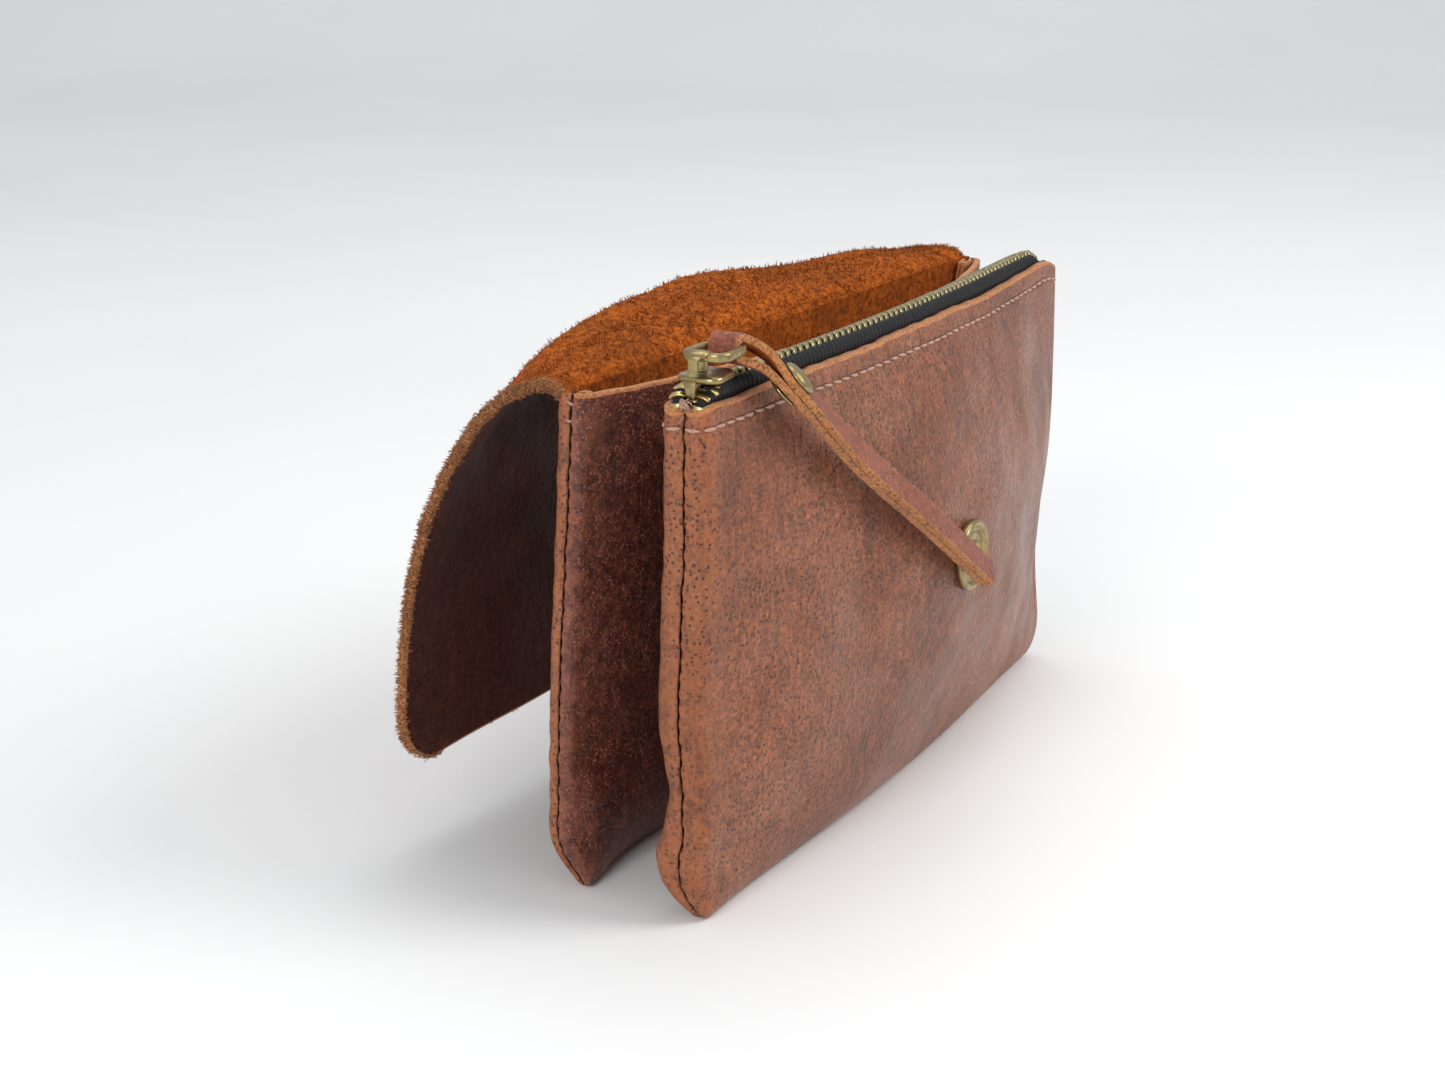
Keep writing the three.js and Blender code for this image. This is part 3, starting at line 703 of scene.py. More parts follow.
def inner_face(p, z, line):
    """The inner face at one level. Near the bottom fold it bulges less, so the leather closes."""
    x, depth = line[:, 0], line[:, 1]
    closed = max(0.0, 1 - z / 4)
    depth = depth + p.extra_at(x, z) * (1 - closed)
    return x, depth + p.shape_at(x, z) * 0.8 + rim_trim(p, z)


def laid(p, z, x, depth):
    """One face's points at one level, in the part's frame."""
    height = np.full_like(x, z)
    if p.has_rim:
        height = height + place_rim(x, z, p.top)
    return p.place(np.column_stack([x, p.seam_at(x, z) + p.side * depth, height]))


def panel_wear(p, z, line, gap):
    """Above 0 where the face is rubbed, below 0 for painted shade in the slits of the seam and in the groove
    under the stitches.
    """
    x, depth = np.abs(line[:, 0]), line[:, 1]
    half, beat = p.half_at(z), seam_beat(z)
    lips = bell(depth, gap + 0.8, 0.5) * (x > half - 2.4)
    slit_shade = bell(depth, 0, 0.11 + 0.17 * beat) * (x > half - 2.6)
    worn = 0.5 * bell(x, half, 6.0) + 0.4 * bell(z, 0, 5) + 0.3 * bell(z, p.top, 2.0) + 0.35 * lips
    # Painted shade in the groove under the top stitches.
    stitched = 0.5 * bell(z, STITCH_Z, 0.28) * (p.top == ZIP_TOP)
    return np.clip(worn, 0, 1) - (1.1 + 1.2 * beat) * slit_shade - stitched


def panel(p):
    """One leather panel, made and put in place. Returns its outer face and the heights of its rows."""
    levels = panel_levels(p.top)
    rings, wear = [], []
    for z in levels:
        half, end_half = p.half_at(z), p.end_at(z)
        lip, gap = min(SEAM_LIP, end_half * 0.3), min(SEAM_GAP, end_half * 0.12)
        line = panel_line(half, end_half, min(p.radius, end_half * 0.75), lip, gap)
        inner_half = max(end_half - LEATHER, 0.25)
        inner = panel_line(half - LEATHER, inner_half, min(0.8, inner_half * 0.5), 0.1, 0.1)
        outside, inside = laid(p, z, *outer_face(p, z, line)), laid(p, z, *inner_face(p, z, inner))
        rings.append(np.concatenate([outside, inside[::-1]]))
        # Rubbed places above 0, painted shade below 0 in the seam's slits and under the stitches.
        worn = panel_wear(p, z, line, gap)
        wear.append(np.concatenate([worn, worn[::-1]]))
    rings = np.array(rings)
    rim_slot, rim_rows = (2, 4) if p.has_rim else (1, 0)
    points, faces, slots = two_sided(rings, rim_slot, rim_rows)
    obj = make_object(p.name + "_leather", points, faces, p.materials, slots, np.array(wear))
    place_piece(obj, "pouch", p.finish, p.name + "_panel")
    return rings[:, :rings.shape[1] // 2], levels


def place_rim(x, z, top):
    """How far the leather rises near its cut rim, which isn't quite straight and dips at the seams."""
    wave = 0.35 * swell(x, 0 * x, 11 + int(top), 38) + 0.16 * swell(x, 0 * x, 12, 7)
    rise = wave * smooth((z - top + 9) / 9)
    if top == ZIP_TOP:
        rise = rise - 1.3 * bell(np.abs(x), ZIP_HALF + 0.5, 1.8) * smooth((z - top + 5) / 5)
        rise = rise + 0.5 * bell(x, -ZIP_HALF + 5, 3) * smooth((z - top + 8) / 8)
        rise = rise + 0.6 * smooth((x - 74) / 10) * smooth((z - top + 40) / 40)
        rise = rise - 1.7 * smooth((x - 87) / 7) * smooth((z - top + 20) / 20)
    return rise


def stay(points):
    """The zip pouch's frame is the part's own."""
    return points


def turn_rear(points):
    """From the rear pocket's own frame into the part's."""
    c, s = math.cos(POCKET_TURN), math.sin(POCKET_TURN)
    x = points[..., 0] * c - points[..., 1] * s
    y = points[..., 0] * s + points[..., 1] * c + POCKET_Y
    return np.stack([x, y, points[..., 2]], axis=-1)


def hump(z, top, power):
    """0 at the bottom and at the top, 1 half way up."""
    return np.clip(np.sin(math.pi * z / top), 0, None) ** power


def arch(x, half):
    """1 at mid width, 0 at both ends."""
    return np.clip(1 - (x / half) ** 2, 0, None)


def zip_half(z):
    """Half the zip pouch's width, less where its lower corners are rounded."""
    return ZIP_HALF - 4.5 * max(0, 1 - z / 11) ** 2


def zip_end(z):
    """The front panel's depth at its ends, from the seam."""
    return mix(0.8, ZIP_DEPTH, math.sqrt(1 - max(0, 1 - z / 13) ** 2))


def zip_back_end(z):
    """The same for the back panel, pinched above the bottom."""
    pinch = 1.5 * bell(z, 28, 7) - 0.9 * bell(z, 15, 5.5)
    return zip_end(z) + 0.3 - pinch * smooth(z / 8)


def zip_seam(x, z):
    """The seam plane follows the bow of the rim, and wanders a little at the ends."""
    near = bell(x, -ZIP_HALF, 16)
    far = bell(x, ZIP_HALF, 16)
    drift = 1.5 * bell(z, 45, 24) + 1.6 * bell(z, 11, 6) - 1.0 * bell(z, 0, 3)
    drift = drift + 0.22 * swell(z, 0 * z, 31, 6.5)
    return bow(x) + near * drift + far * (0.9 * bell(z, 30, 20) - 0.6)


def zip_front_extra(x, z):
    return FRONT_BULGE * hump(z, ZIP_TOP, FRONT_FULLNESS) * arch(x, ZIP_HALF)


def zip_back_extra(x, z):
    return BACK_BULGE * hump(z, ZIP_TOP, 1) * arch(x, ZIP_HALF)


def creases(x, z, rows):
    """The sum of several creases, each (x, z, angle, length, width)."""
    total = 0
    for cx, cz, angle, length, width in rows:
        a = math.radians(angle)
        along = (x - cx) * math.cos(a) + (z - cz) * math.sin(a)
        across = -(x - cx) * math.sin(a) + (z - cz) * math.cos(a)
        total = total + np.exp(-((along / length) ** 2) - (across / width) ** 2)
    return total


def away_from_edges(x, z, half, top, low_run, high_run, end_run):
    """1 inside a panel, falling to 0 over these distances at its bottom, its rim and its ends."""
    upright = smooth(z / low_run) * smooth((top - z) / high_run)
    return upright * smooth((half - np.abs(x)) / end_run)


def zip_front_shape(x, z):
    """Softness of the front panel: broad waves, a few creases towards its two ends."""
    inside = away_from_edges(x, z, ZIP_HALF, ZIP_TOP, 14, 10, 9)
    shape = 0.55 * swell(x, z, 3, 55) * inside + 0.16 * swell(x, z, 4, 17) * inside
    shape = shape - 0.5 * creases(x, z, (
        (-86, 31, 28, 5, 0.9), (-87, 26, 8, 4, 0.8), (-85, 20, -22, 5, 1.1), (-79, 34, 40, 6, 1.0),
        (86, 40, 96, 20, 3.5), (79, 24, 80, 14, 3.0),
    ))
    return shape - 2.2 * creases(x, z, [(90, 30, 88, 22, 7)])


def zip_back_shape(x, z):
    return 0.35 * swell(x, z, 5, 48) * away_from_edges(x, z, ZIP_HALF, ZIP_TOP, 14, 10, 9)


def pocket_half(z):
    return POCKET_HALF - 4.0 * max(0, 1 - z / 12) ** 2


def pocket_back_y(z):
    """The back panel leans back towards the bottom."""
    return POCKET_LEAN * (1 - z / POCKET_TOP)


def bottom_close(z):
    """How a pocket panel's end narrows towards the bottom fold."""
    return mix(0.35, 1.0, math.sqrt(1 - max(0, 1 - z / 10) ** 2))


def pocket_back_end(z):
    return mix(2.5, 3.5, z / POCKET_TOP) * bottom_close(z)


def pocket_front_end(z):
    return 2.6 * bottom_close(z)


def pocket_seam(x, z):
    """The pocket's seam plane, which drifts forward at the bottom of its near end."""
    base = pocket_back_y(z) - mix(2.5, 3.5, z / POCKET_TOP)
    near = bell(x, -POCKET_HALF, 14)
    drift = 0.8 * bell(z, 45, 30) + 0.15 * swell(z, 0 * z, 32, 6.5) - 4.6 * bell(z, 0, 7)
    return base + near * drift


def pocket_front_extra(x, z):
    across = 1 - np.clip(np.abs(x / POCKET_HALF), 0, 1) ** POCKET_BOW_SHAPE
    return POCKET_BOW * (z / POCKET_TOP) ** POCKET_BOW_FALL * across


def pocket_front_shape(x, z):
    """Softness of the pocket's front: waves, a fold along the bottom, creases at the lower near corner."""
    wave = 0.45 * swell(x, z, 8, 42) * away_from_edges(x, z, POCKET_HALF, POCKET_TOP, 12, 10, 8)
    shape = wave + 2.2 * bell(z, 13, 11) * smooth((POCKET_HALF - np.abs(x)) / 8)
    return shape - 0.55 * creases(x, z, (
        (-83, 30, 30, 7, 1.2), (-81, 24, -35, 6, 1.1), (-78, 18, 15, 7, 1.3),
    ))


def pocket_back_shape(x, z):
    return 0.3 * swell(x, z, 9, 60) * away_from_edges(x, z, POCKET_HALF, POCKET_TOP, 12, 16, 8)


def nothing(x, _z):
    return 0 * x


def build_pouches():
    """The four leather panels. Returns each one's outer face and levels, by name."""
    looks = [GRAIN, SUEDE, RAW_EDGE]
    # The pocket's front takes the darker leather with painted shade.
    dark = [DARK_AND_SHADED_GRAIN, SUEDE, RAW_EDGE]
    panels = (
        Panel("zip_front", -1, ZIP_TOP, zip_half, zip_end, zip_seam, zip_front_extra, zip_front_shape,
              stay, looks, "zip_leather", 3.4, True),
        Panel("zip_back", 1, ZIP_TOP, zip_half, zip_back_end, zip_seam, zip_back_extra, zip_back_shape,
              stay, looks, "zip_leather", 2.6, True),
        Panel("pocket_front", -1, POCKET_TOP, pocket_half, pocket_front_end, pocket_seam,
              pocket_front_extra, pocket_front_shape, turn_rear, dark, "pocket_leather", 2.2, True),
        Panel("pocket_back", 1, POCKET_TOP, pocket_half, pocket_back_end, pocket_seam,
              nothing, pocket_back_shape, turn_rear, looks, "pocket_leather", 2.2, False),
    )
    return {p.name: panel(p) for p in panels}


def build_rim_stitches(outer):
    """Top stitches a little below both rims of the zip pouch, on round its ends."""
    for side, name in ((-1, "front"), (1, "back")):
        face, levels = outer["zip_" + name]
        row = face[int(np.argmin(np.abs(levels - STITCH_Z)))][3:-3]
        run = travelled(row)
        build = Build()
        start = 0.3
        while start + STITCH_SEEN < run[-1]:
            a, b = (
                np.array([np.interp(at, run, row[:, k]) for k in range(3)])
                for at in (start, start + STITCH_SEEN)
            )
            slant = random.uniform(0.0, 0.3)
            a[2] += slant
            b[2] -= slant
            out = unit(-side * np.cross(unit(b - a), [0, 0, 1]))
            proud = 0.35 if abs(a[0]) > ZIP_HALF - 2.5 else 0.0
            thick = random.uniform(0.30, 0.36) + 0.15 * proud
            build.add(*stitch(a, b, out, thick, 0.08 - proud, 0.36))
            start += STITCH_PITCH * random.uniform(0.97, 1.03)
        build.place("rim_stitches_" + name, THREAD, "pouch", "thread", "rim_thread_" + name)


def build_back_tacks():
    """Two stitches across the pocket's seam at each upper corner."""
    build = Build()
    for x_sign in (-1, 1):
        for k, z in enumerate((103.2, 99.9)):
            y = float(pocket_seam(np.array(-POCKET_HALF), z))
            x = x_sign * (POCKET_HALF - 0.1)
            a = turn_rear(np.array([x, y - 0.9 + 0.3 * k, z]))
            b = turn_rear(np.array([x, y + 0.7, z + 0.7 - 0.5 * k]))
            build.add(*stitch(a, b, [x_sign, 0, 0], 0.25, 0.1, 0.25))
    build.place("pocket_back_tacks", THREAD, "pouch", "thread")


def build_join():
    """The short row of stitches that joins the two pouches."""
    build = Build()
    y = -ZIP_BOW + ZIP_DEPTH + BACK_BULGE * float(hump(90, ZIP_TOP, 1)) + 1.0
    for k in range(4):
        z = 85 + 3.3 * k
        build.add(*stitch([0, y, z], [0, y, z + 2.4], [0, 1, 0], 0.34, 0.05, 0.3))
    build.place("pouch_join_stitches", THREAD, "pouch", "thread", "pouch_join_thread")


def seam_fold_layer(x_sign, layer):
    """One of the two leather edges folded into the pocket at a seam, spread a little towards the rim."""
    rings = []
    for z in np.linspace(FOLD_LOW, POCKET_TOP - 0.6, 40):
        seam = float(pocket_seam(np.array(-POCKET_HALF), z)) + layer * 0.5
        spread = 0.55 * smooth((z - 88) / 17)
        width = FOLD_WIDTH - 0.8 * smooth((z - 92) / 12)
        ring = []
        for u, v in rounded_rectangle(width / 2, FOLD_HALF_THICK, 0.3, 4):
            inward = POCKET_HALF - LEATHER - 0.35 - width / 2 - u
            away = seam + v + layer * spread * smooth((width / 2 - u) / width)
            ring.append([x_sign * inward, away, z + 0.15 * math.sin(u * 2.1)])
        rings.append(turn_rear(np.array(ring)))
    return swept(rings)


def build_seam_folds():
    """The edges of the leather, folded into the pocket along both seams."""
    for x_sign, label in ((-1, "near"), (1, "far")):
        fold = Build()
        for layer in (-1, 1):
            fold.add(*seam_fold_layer(x_sign, layer))
        fold.place("pocket_seam_fold_" + label, RAW_EDGE, "pouch", "pocket_leather")


# ---------------------------------------------------------------- zipper

TAPE_SECTIONS = {                # (y, z) from inside the pouch, out over the leather's rim, up to the teeth
    "front": [(-2.45, 94), (-2.5, 98), (-2.5, 102), (-2.5, 104.4), (-2.55, 105.6), (-2.85, 106.5),
              (-3.25, 107.3), (-3.35, 108.0), (-3.2, 108.7), (-2.85, 109.2), (-2.3, 109.3)],
    "back": [(2.45, 94), (2.5, 98), (2.5, 102), (2.5, 104.4), (2.6, 105.4), (2.85, 106.0), (3.05, 106.5),
             (3.05, 106.9), (2.85, 107.25), (2.5, 107.4), (2.0, 107.3)],
}


def zip_dip(x):
    """The zip runs down into the pouch at its far end."""
    return -3.2 * smooth((x - 78) / 11)


def along_tape(section, x):
    """Points round a tape's section at one x: both faces of a mid line of (y, z) points, with its ribs and
    the painted shade of the valleys between them.
    """
    normal = unit_rows(np.gradient(section, axis=0)) @ np.array([[0, 1], [-1, 0]])
    wave = np.abs(np.sin(math.pi * (x + TAPE_RIB_SLANT * travelled(section)) / TAPE_RIB_PITCH))
    lift = TAPE_RIB * wave
    lift[0] = lift[-1] = 0
    outside = section + normal * (TAPE_THICK / 2 + lift)[:, None]
    inside = section - normal * (TAPE_THICK / 2)
    ring = np.concatenate([outside, inside[::-1]])
    shade = np.concatenate([-1.0 * bell(wave, 0, 0.6), 0 * wave])
    return np.column_stack([np.full(len(ring), x), ring[:, 0] + bow(x), ring[:, 1] + zip_dip(x)]), shade


def build_tapes():
    """The two ribbed tapes, each one swept along the rim."""
    for name, section in TAPE_SECTIONS.items():
        fine = refine(section, 26)
        if name == "back":
            fine = fine[::-1]
        made = [along_tape(fine, x) for x in np.arange(TAPE_START, TAPE_END, TAPE_STEP)]
        build = Build()
        build.add(*swept([ring for ring, _ in made]), wear=np.concatenate([shade for _, shade in made]))
        build.place("zip_tape_" + name, TAPE, "pouch", "zipper_tape", "zipper_tape_" + name)


def refine(points, count):
    """The same line with evenly spaced points, rounded where it turns."""
    line = spaced(np.asarray(points, float), count)
    relax(line)
    relax(line)
    return line


TOOTH_PROFILE = [                # (y, z) round a tooth, from its clamp end to its head and back
    (-2.9, -0.62), (-2.95, 0.0), (-2.85, 0.62), (-2.35, 1.02), (-1.1, 1.16), (0.1, 0.98), (0.85, 0.62),
    (1.12, 0.1), (1.0, -0.45), (0.3, -0.85), (-1.1, -1.02), (-2.35, -0.95),
]


TOOTH_HALF = (                   # from its middle outwards: place, size, painted shade of the gap beside it
    (0, 0.97, 0), (0.30, 1.0, 0), (0.60, 0.96, 0), (0.82, 0.82, 0.4), (1.0, 0.50, 1.0), (1.06, 0.36, 1.0),
)


def tooth():
    """One tooth: its clamp end at -y is nearly a pitch long, its head narrower."""
    profile = np.array(TOOTH_PROFILE)
    centre = np.array([-0.9, 0.0])
    headward = smooth((profile[:, 0] + 1.3) / 1.2)
    rings, shade = [], []
    for x, scale, dark in [(-x, scale, dark) for x, scale, dark in TOOTH_HALF[:0:-1]] + list(TOOTH_HALF):
        shape = centre + (profile - centre) * np.array([mix(1, scale, 0.4), scale])
        rings.append(np.column_stack([x * mix(1.0, 0.52, headward), shape]))
        shade += [-dark] * len(profile)
    points, faces = swept(rings)
    return points, faces, shade


def build_chain():
    """Two rows of interlocked teeth, leaning back with the tape."""
    points, faces, shade = tooth()
    for side, name in ((-1, "front"), (1, "back")):
        build = Build()
        first = CHAIN_START + 1 + (TOOTH_PITCH / 2 if side > 0 else 0)
        for x in np.arange(first, CHAIN_END - 1, TOOTH_PITCH):
            local = points * np.array([1, -side, 1])
            flat = np.column_stack([local[:, 0] + 0.35 * local[:, 2], local[:, 1], local[:, 2]])
            tilt = CHAIN_ROLL + random.uniform(-0.03, 0.03)
            y = flat[:, 1] * math.cos(tilt) + flat[:, 2] * math.sin(tilt)
            z = -flat[:, 1] * math.sin(tilt) + flat[:, 2] * math.cos(tilt)
            jitter = random.uniform(-0.04, 0.04)
            placed = np.column_stack([flat[:, 0] + x + jitter, y + bow(x), z + CHAIN_Z + zip_dip(x)])
            build.add(placed, faces, wear=shade)
        build.place("zip_teeth_" + name, TOOTH_BRASS, "pouch", "antique_brass", "zipper_teeth_" + name)


def build_far_stop():
    """The metal stop that ends the zip."""
    outline = rounded_rectangle(1.0, 1.0, 0.35, 5) + np.array([CHAIN_END + 1.3, float(bow(CHAIN_END))])
    drop = float(zip_dip(CHAIN_END))
    stop = Build().add(*slab(outline, STOP_LOW + drop, STOP_HIGH + drop, 0.3))
    stop.place("far_stop", BRASS, "pouch", "antique_brass", "zipper_far_stop")


def around_cord(angle, across, out):
    """From the middle of a bunched tape end to its surface."""
    return CORD_HALF_WIDTH * math.cos(angle) * across + CORD_HALF_HEIGHT * math.sin(angle) * out


def bunched(frames):
    """The cut end of a tape, bunched into a thick woven cord."""
    rings = []
    for k, (centre, _, across, out) in enumerate(frames):
        size = 0.55 + 0.45 * math.sin(math.pi * min(1, 0.12 + k / CORD_POINTS)) ** 0.5
        ring = []
        for a in np.linspace(0, 2 * math.pi, 28, endpoint=False):
            weave = 1 + 0.07 * math.sin(k * 1.9 + 3 * a) + 0.05 * math.sin(9 * a + k)
            ring.append(centre + weave * size * around_cord(a, across, out))
        rings.append(ring)
    return swept(rings)


def build_tape_ends():
    """At the near end of the zip, the two cut tapes with their last teeth."""
    for side, name in ((-1, "front"), (1, "back")):
        path = refine([
            (-83.5, side * 2.7, 107.6), (-87.0, side * 2.9, 107.9), (-90.2, side * 2.9, 107.6),
            (-92.2, side * 2.4, 106.4), (-92.6, side * 2.1, 104.2),
        ], CORD_POINTS)
        frames = tape_end_frames(path)
        tail = Build().add(*bunched(frames))
        tail.place("tape_end_" + name, TAPE, "pouch", "zipper_tape")
        metal = Build()
        for k, turn in ((22, 0.5), (33, -0.2), (43, 0.15), (52, -0.1)):
            metal.add(*clamp_tooth(*frames[k], turn))
        metal.place("end_teeth_" + name, END_BRASS, "pouch", "antique_brass")


def tape_end_frames(path):
    """Along a bunched tape end: its centre, its direction, up and sideways."""
    frames = []
    for k in range(len(path)):
        t = unit(path[min(k + 1, len(path) - 1)] - path[max(k - 1, 0)])
        out = unit(np.cross(t, np.cross(np.array([0, 1, 0]), t)))
        frames.append((path[k], t, np.cross(out, t), out))
    return frames


def clamp_tooth(centre, tangent, across, out, turn):
    """A loose tooth bent over the tape's edge: a bar swept part of the way round it."""
    rings = []
    for a in np.linspace(-1.15, 1.15, 15) + turn:
        radial = around_cord(a, across, out)
        middle = centre + radial * 1.16
        ring = []
        for u, v in rounded_rectangle(0.52, 0.40, 0.26, 4):
            ring.append(middle + tangent * u + unit(radial) * v)
        rings.append(ring)
    return swept(rings)


def scattered(x, y, z):
    """A random point, each of its three numbers drawn between two limits."""
    return np.array([random.uniform(*x), random.uniform(*y), random.uniform(*z)])


def build_knot():
    """The tangle of thread that closes the near end of the zip, over the seam."""
    knot = Build()
    for _ in range(KNOT_STRANDS):
        spot = KNOT_CENTRE + scattered((-0.5, 0.5), (-0.8, 0.8), (-0.7, 0.8))
        way = unit(scattered((-0.5, 0.5), (-1, 1), (-1, 1)))
        out = unit(np.cross(way, [random.uniform(-1, 1), random.uniform(-1, 1), 0.3]))
        knot.add(*stitch(spot - 0.75 * way, spot + 0.75 * way, out, 0.21, 0.0, 0.4))
    knot.place("bar_tack_knot", THREAD, "pouch", "thread", "zipper_near_bar_tack")


def build_slider():
    """The slider's upper plate, the neck between the teeth and the plate under them."""
    body = Build()
    wing = rounded_rectangle(5.0, 4.9, 2.6, 9)
    wing[:, 1] *= np.interp(wing[:, 0], [-5, 5], [1.0, 0.80])
    offset = np.array([SLIDER_X, SLIDER_Y])
    body.add(*slab(wing + offset, SLIDER_TOP - PLATE_THICK, SLIDER_TOP, 0.42))
    under = rounded_rectangle(4.5, 0.9, 0.6, 5) + np.array([SLIDER_X, -1.0])
    body.add(*slab(under, *UNDER_PLATE, 0.25))
    rings = []
    for z, wide, long in ((106.7, 0.66, 1.0), (107.6, 0.82, 1.3), (109.2, 1.12, 1.6), (110.9, 1.5, 1.8)):
        outline = rounded_rectangle(long, wide, 0.3, 5) + np.array(NECK_AT)
        rings.append(np.column_stack([outline, np.full(len(outline), z)]))
    body.add(*swept(rings))
    body.place("slider_visual", BRASS, "slider", "antique_brass", "slider_body")


def build_crown():
    """The bridge over the slider that holds the ring, widening into a dome."""
    half = CROWN_HALF
    rising = [(half, SLIDER_TOP + 0.2), (half, 114.2), (half * 0.92, 115.6), (half * 0.55, 116.45)]
    arc = [(-x, z) for x, z in rising] + [(0, CROWN_PEAK)] + rising[::-1]
    arc = refine([(x + CROWN_X, z) for x, z in arc], 40)
    rings = []
    for (x, z), (tx, tz) in zip(arc, unit_rows(np.gradient(arc, axis=0))):
        crownward = float(smooth((z - 114.5) / 2))
        ring = []
        for u, v in rounded_rectangle(mix(0.95, 2.5, crownward), mix(0.45, 0.8, crownward), 0.4, 5):
            dome = v * (1 - 0.55 * crownward * (u / 2.5) ** 2) - 0.5 * crownward * (u / 2.5) ** 2
            ring.append([x - tz * dome, SLIDER_Y + u, z + tx * dome])
        rings.append(ring)
    crown = Build().add(*swept(rings))
    crown.place("crown_visual", BRASS, "slider", "antique_brass", "slider_crown")


def build_ring():
    """The flat oval ring, a band with rounded edges."""
    line = rounded_rectangle(RING["half_length"] - RING_INSET, RING["half_width"] - RING_INSET, 2.4, 14)
    line[:, 1] *= 1 - 0.10 * smooth((line[:, 0] - 1) / 4)
    centre = np.array([RING["x"], RING["y"]])
    following = unit_rows(np.roll(line, -1, axis=0) - np.roll(line, 1, axis=0))
    outward = np.column_stack([following[:, 1], -following[:, 0]])
    rings = []
    for p, n in zip(line, outward):
        for u, v in rounded_rectangle(*RING_BAND, 0.5, 5):
            x, y = centre + p + n * u
            rings.append([x, y, RING["z"] + v])
    rows = len(line)
    columns = len(rings) // rows
    faces = ring_faces(rows, columns)
    last = (rows - 1) * columns
    for c in range(columns):
        d = (c + 1) % columns
        faces.append([last + c, last + d, d, c])
    build = Build().add(rings, faces)
    build.place("ring_visual", BRASS, "ring", "antique_brass", "pull_ring")


# ---------------------------------------------------------------- puller strap

STRAP_POINTS = np.array([
    (-82.2, -3.0, 115.5), (-77.5, -6.6, 112.9), (-71.5, -10.9, 106.8),
    (-50.9, -16.2, 88.6), (-27.0, -21.9, 70.2), (-4.1, -26.8, 52.3),
])
STRAP_WIDTH = 6.4
STRAP_LAYER = 1.65               # thickness of one layer
STRAP_FOLD = 2.1                 # how far each layer passes from the middle of the ring
STRAP_CLOSED = 0.14              # share of the strap's length where its layers come together
STRAP_EDGE_ROUND = 0.35
STRAP_FACE_POINTS = 9            # points across a face and round an edge of one layer
STRAP_EDGE_POINTS = 7
STRAP_TIP = 0.988                # share of its length from which the tip narrows
RIVET_AT = 0.155                 # share of its length where the rivet sits


def centripetal(points):
    """A smooth curve through the points, as the CAD part's strap follows, evenly sampled."""
    padded = [2 * points[0] - points[1], *points, 2 * points[-1] - points[-2]]
    line = []
    for p0, p1, p2, p3 in zip(padded, padded[1:], padded[2:], padded[3:]):
        d0, d1, d2 = (np.linalg.norm(b - a) ** 0.5 for a, b in ((p0, p1), (p1, p2), (p2, p3)))
        m1 = ((p1 - p0) / d0 - (p2 - p0) / (d0 + d1) + (p2 - p1) / d1) * d1
        m2 = ((p2 - p1) / d1 - (p3 - p1) / (d1 + d2) + (p3 - p2) / d2) * d1
        for t in np.linspace(0, 1, 60, endpoint=False):
            line.append(p1 + m1 * t + (-3 * p1 + 3 * p2 - 2 * m1 - m2) * t ** 2
                        + (2 * p1 - 2 * p2 + m1 + m2) * t ** 3)
    line.append(points[-1])
    return spaced(np.array(line), LINE_POINTS)


STRAP_LINE = centripetal(STRAP_POINTS)


def strap_at(t):
    """The middle of the strap at a share of its length."""
    index = t * (len(STRAP_LINE) - 1)
    low = int(min(index, len(STRAP_LINE) - 2))
    return mix(STRAP_LINE[low], STRAP_LINE[low + 1], index - low)


def strap_frame(t):
    """Along the strap, across it, and out of its grain face."""
    along = strap_at(min(1, t + 0.004)) - strap_at(max(0, t - 0.004))
    along[1] *= float(smooth((t - 0.02) / 0.18))
    along = unit(along)
    upright = unit(np.array([0, 0, 1]) - along * along[2])
    outward = np.cross(along, upright)
    roll = math.radians(mix(-90, -30, 1 - math.exp(-((t / 0.20) ** 1.5))))
    across = upright * math.cos(roll) + outward * math.sin(roll)
    out = -upright * math.sin(roll) + outward * math.cos(roll)
    return along, across, out


def strap_section(centre, across, out, fade=0.0):
    """A rounded section of one layer. Returns points and the face each is on: 0 grain, 1 flesh, 2 edge."""
    half, thick = STRAP_WIDTH / 2 - fade, STRAP_LAYER / 2
    inner = half - STRAP_EDGE_ROUND
    face = np.linspace(-inner, inner, STRAP_FACE_POINTS)
    spots = [(u, 1 - 0.05 * (u / half) ** 2) for u in face]
    for a in turning(math.pi / 2, -math.pi / 2, STRAP_EDGE_POINTS):
        spots.append((inner + STRAP_EDGE_ROUND * edge_reach(a), math.sin(a)))
    spots += [(u, -1) for u in face[::-1]]
    for a in turning(-math.pi / 2, -3 * math.pi / 2, STRAP_EDGE_POINTS):
        spots.append((STRAP_EDGE_ROUND * edge_reach(a) - inner, math.sin(a)))
    points = [centre + across * u + out * thick * v for u, v in spots]
    edge = [2] * STRAP_EDGE_POINTS
    return np.array(points), [0] * STRAP_FACE_POINTS + edge + [1] * STRAP_FACE_POINTS + edge


def edge_reach(angle):
    """How far a cut edge reaches out: round on the grain side, square where the two layers meet."""
    if math.sin(angle) > 0:
        return math.cos(angle)
    return math.copysign(1 - 0.15 * math.sin(angle) ** 2, math.cos(angle))


def strap_layer(sign):
    """The sections of one layer, from the ring to the strap's tip."""
    layer = 0.03 + STRAP_LAYER / 2
    rings = []
    for t in np.concatenate([np.linspace(0.0, 0.2, 40), np.linspace(0.2, 1, 150)[1:]]):
        _, across, out = strap_frame(t)
        offset = mix(STRAP_FOLD, layer, float(smooth(t / STRAP_CLOSED)))
        tip = max(0.0, (t - STRAP_TIP) / (1 - STRAP_TIP))
        ring, kinds = strap_section(strap_at(t) + out * sign * offset, across, out * sign, 0.5 * tip ** 2)
        rings.append(ring)
    return rings, kinds


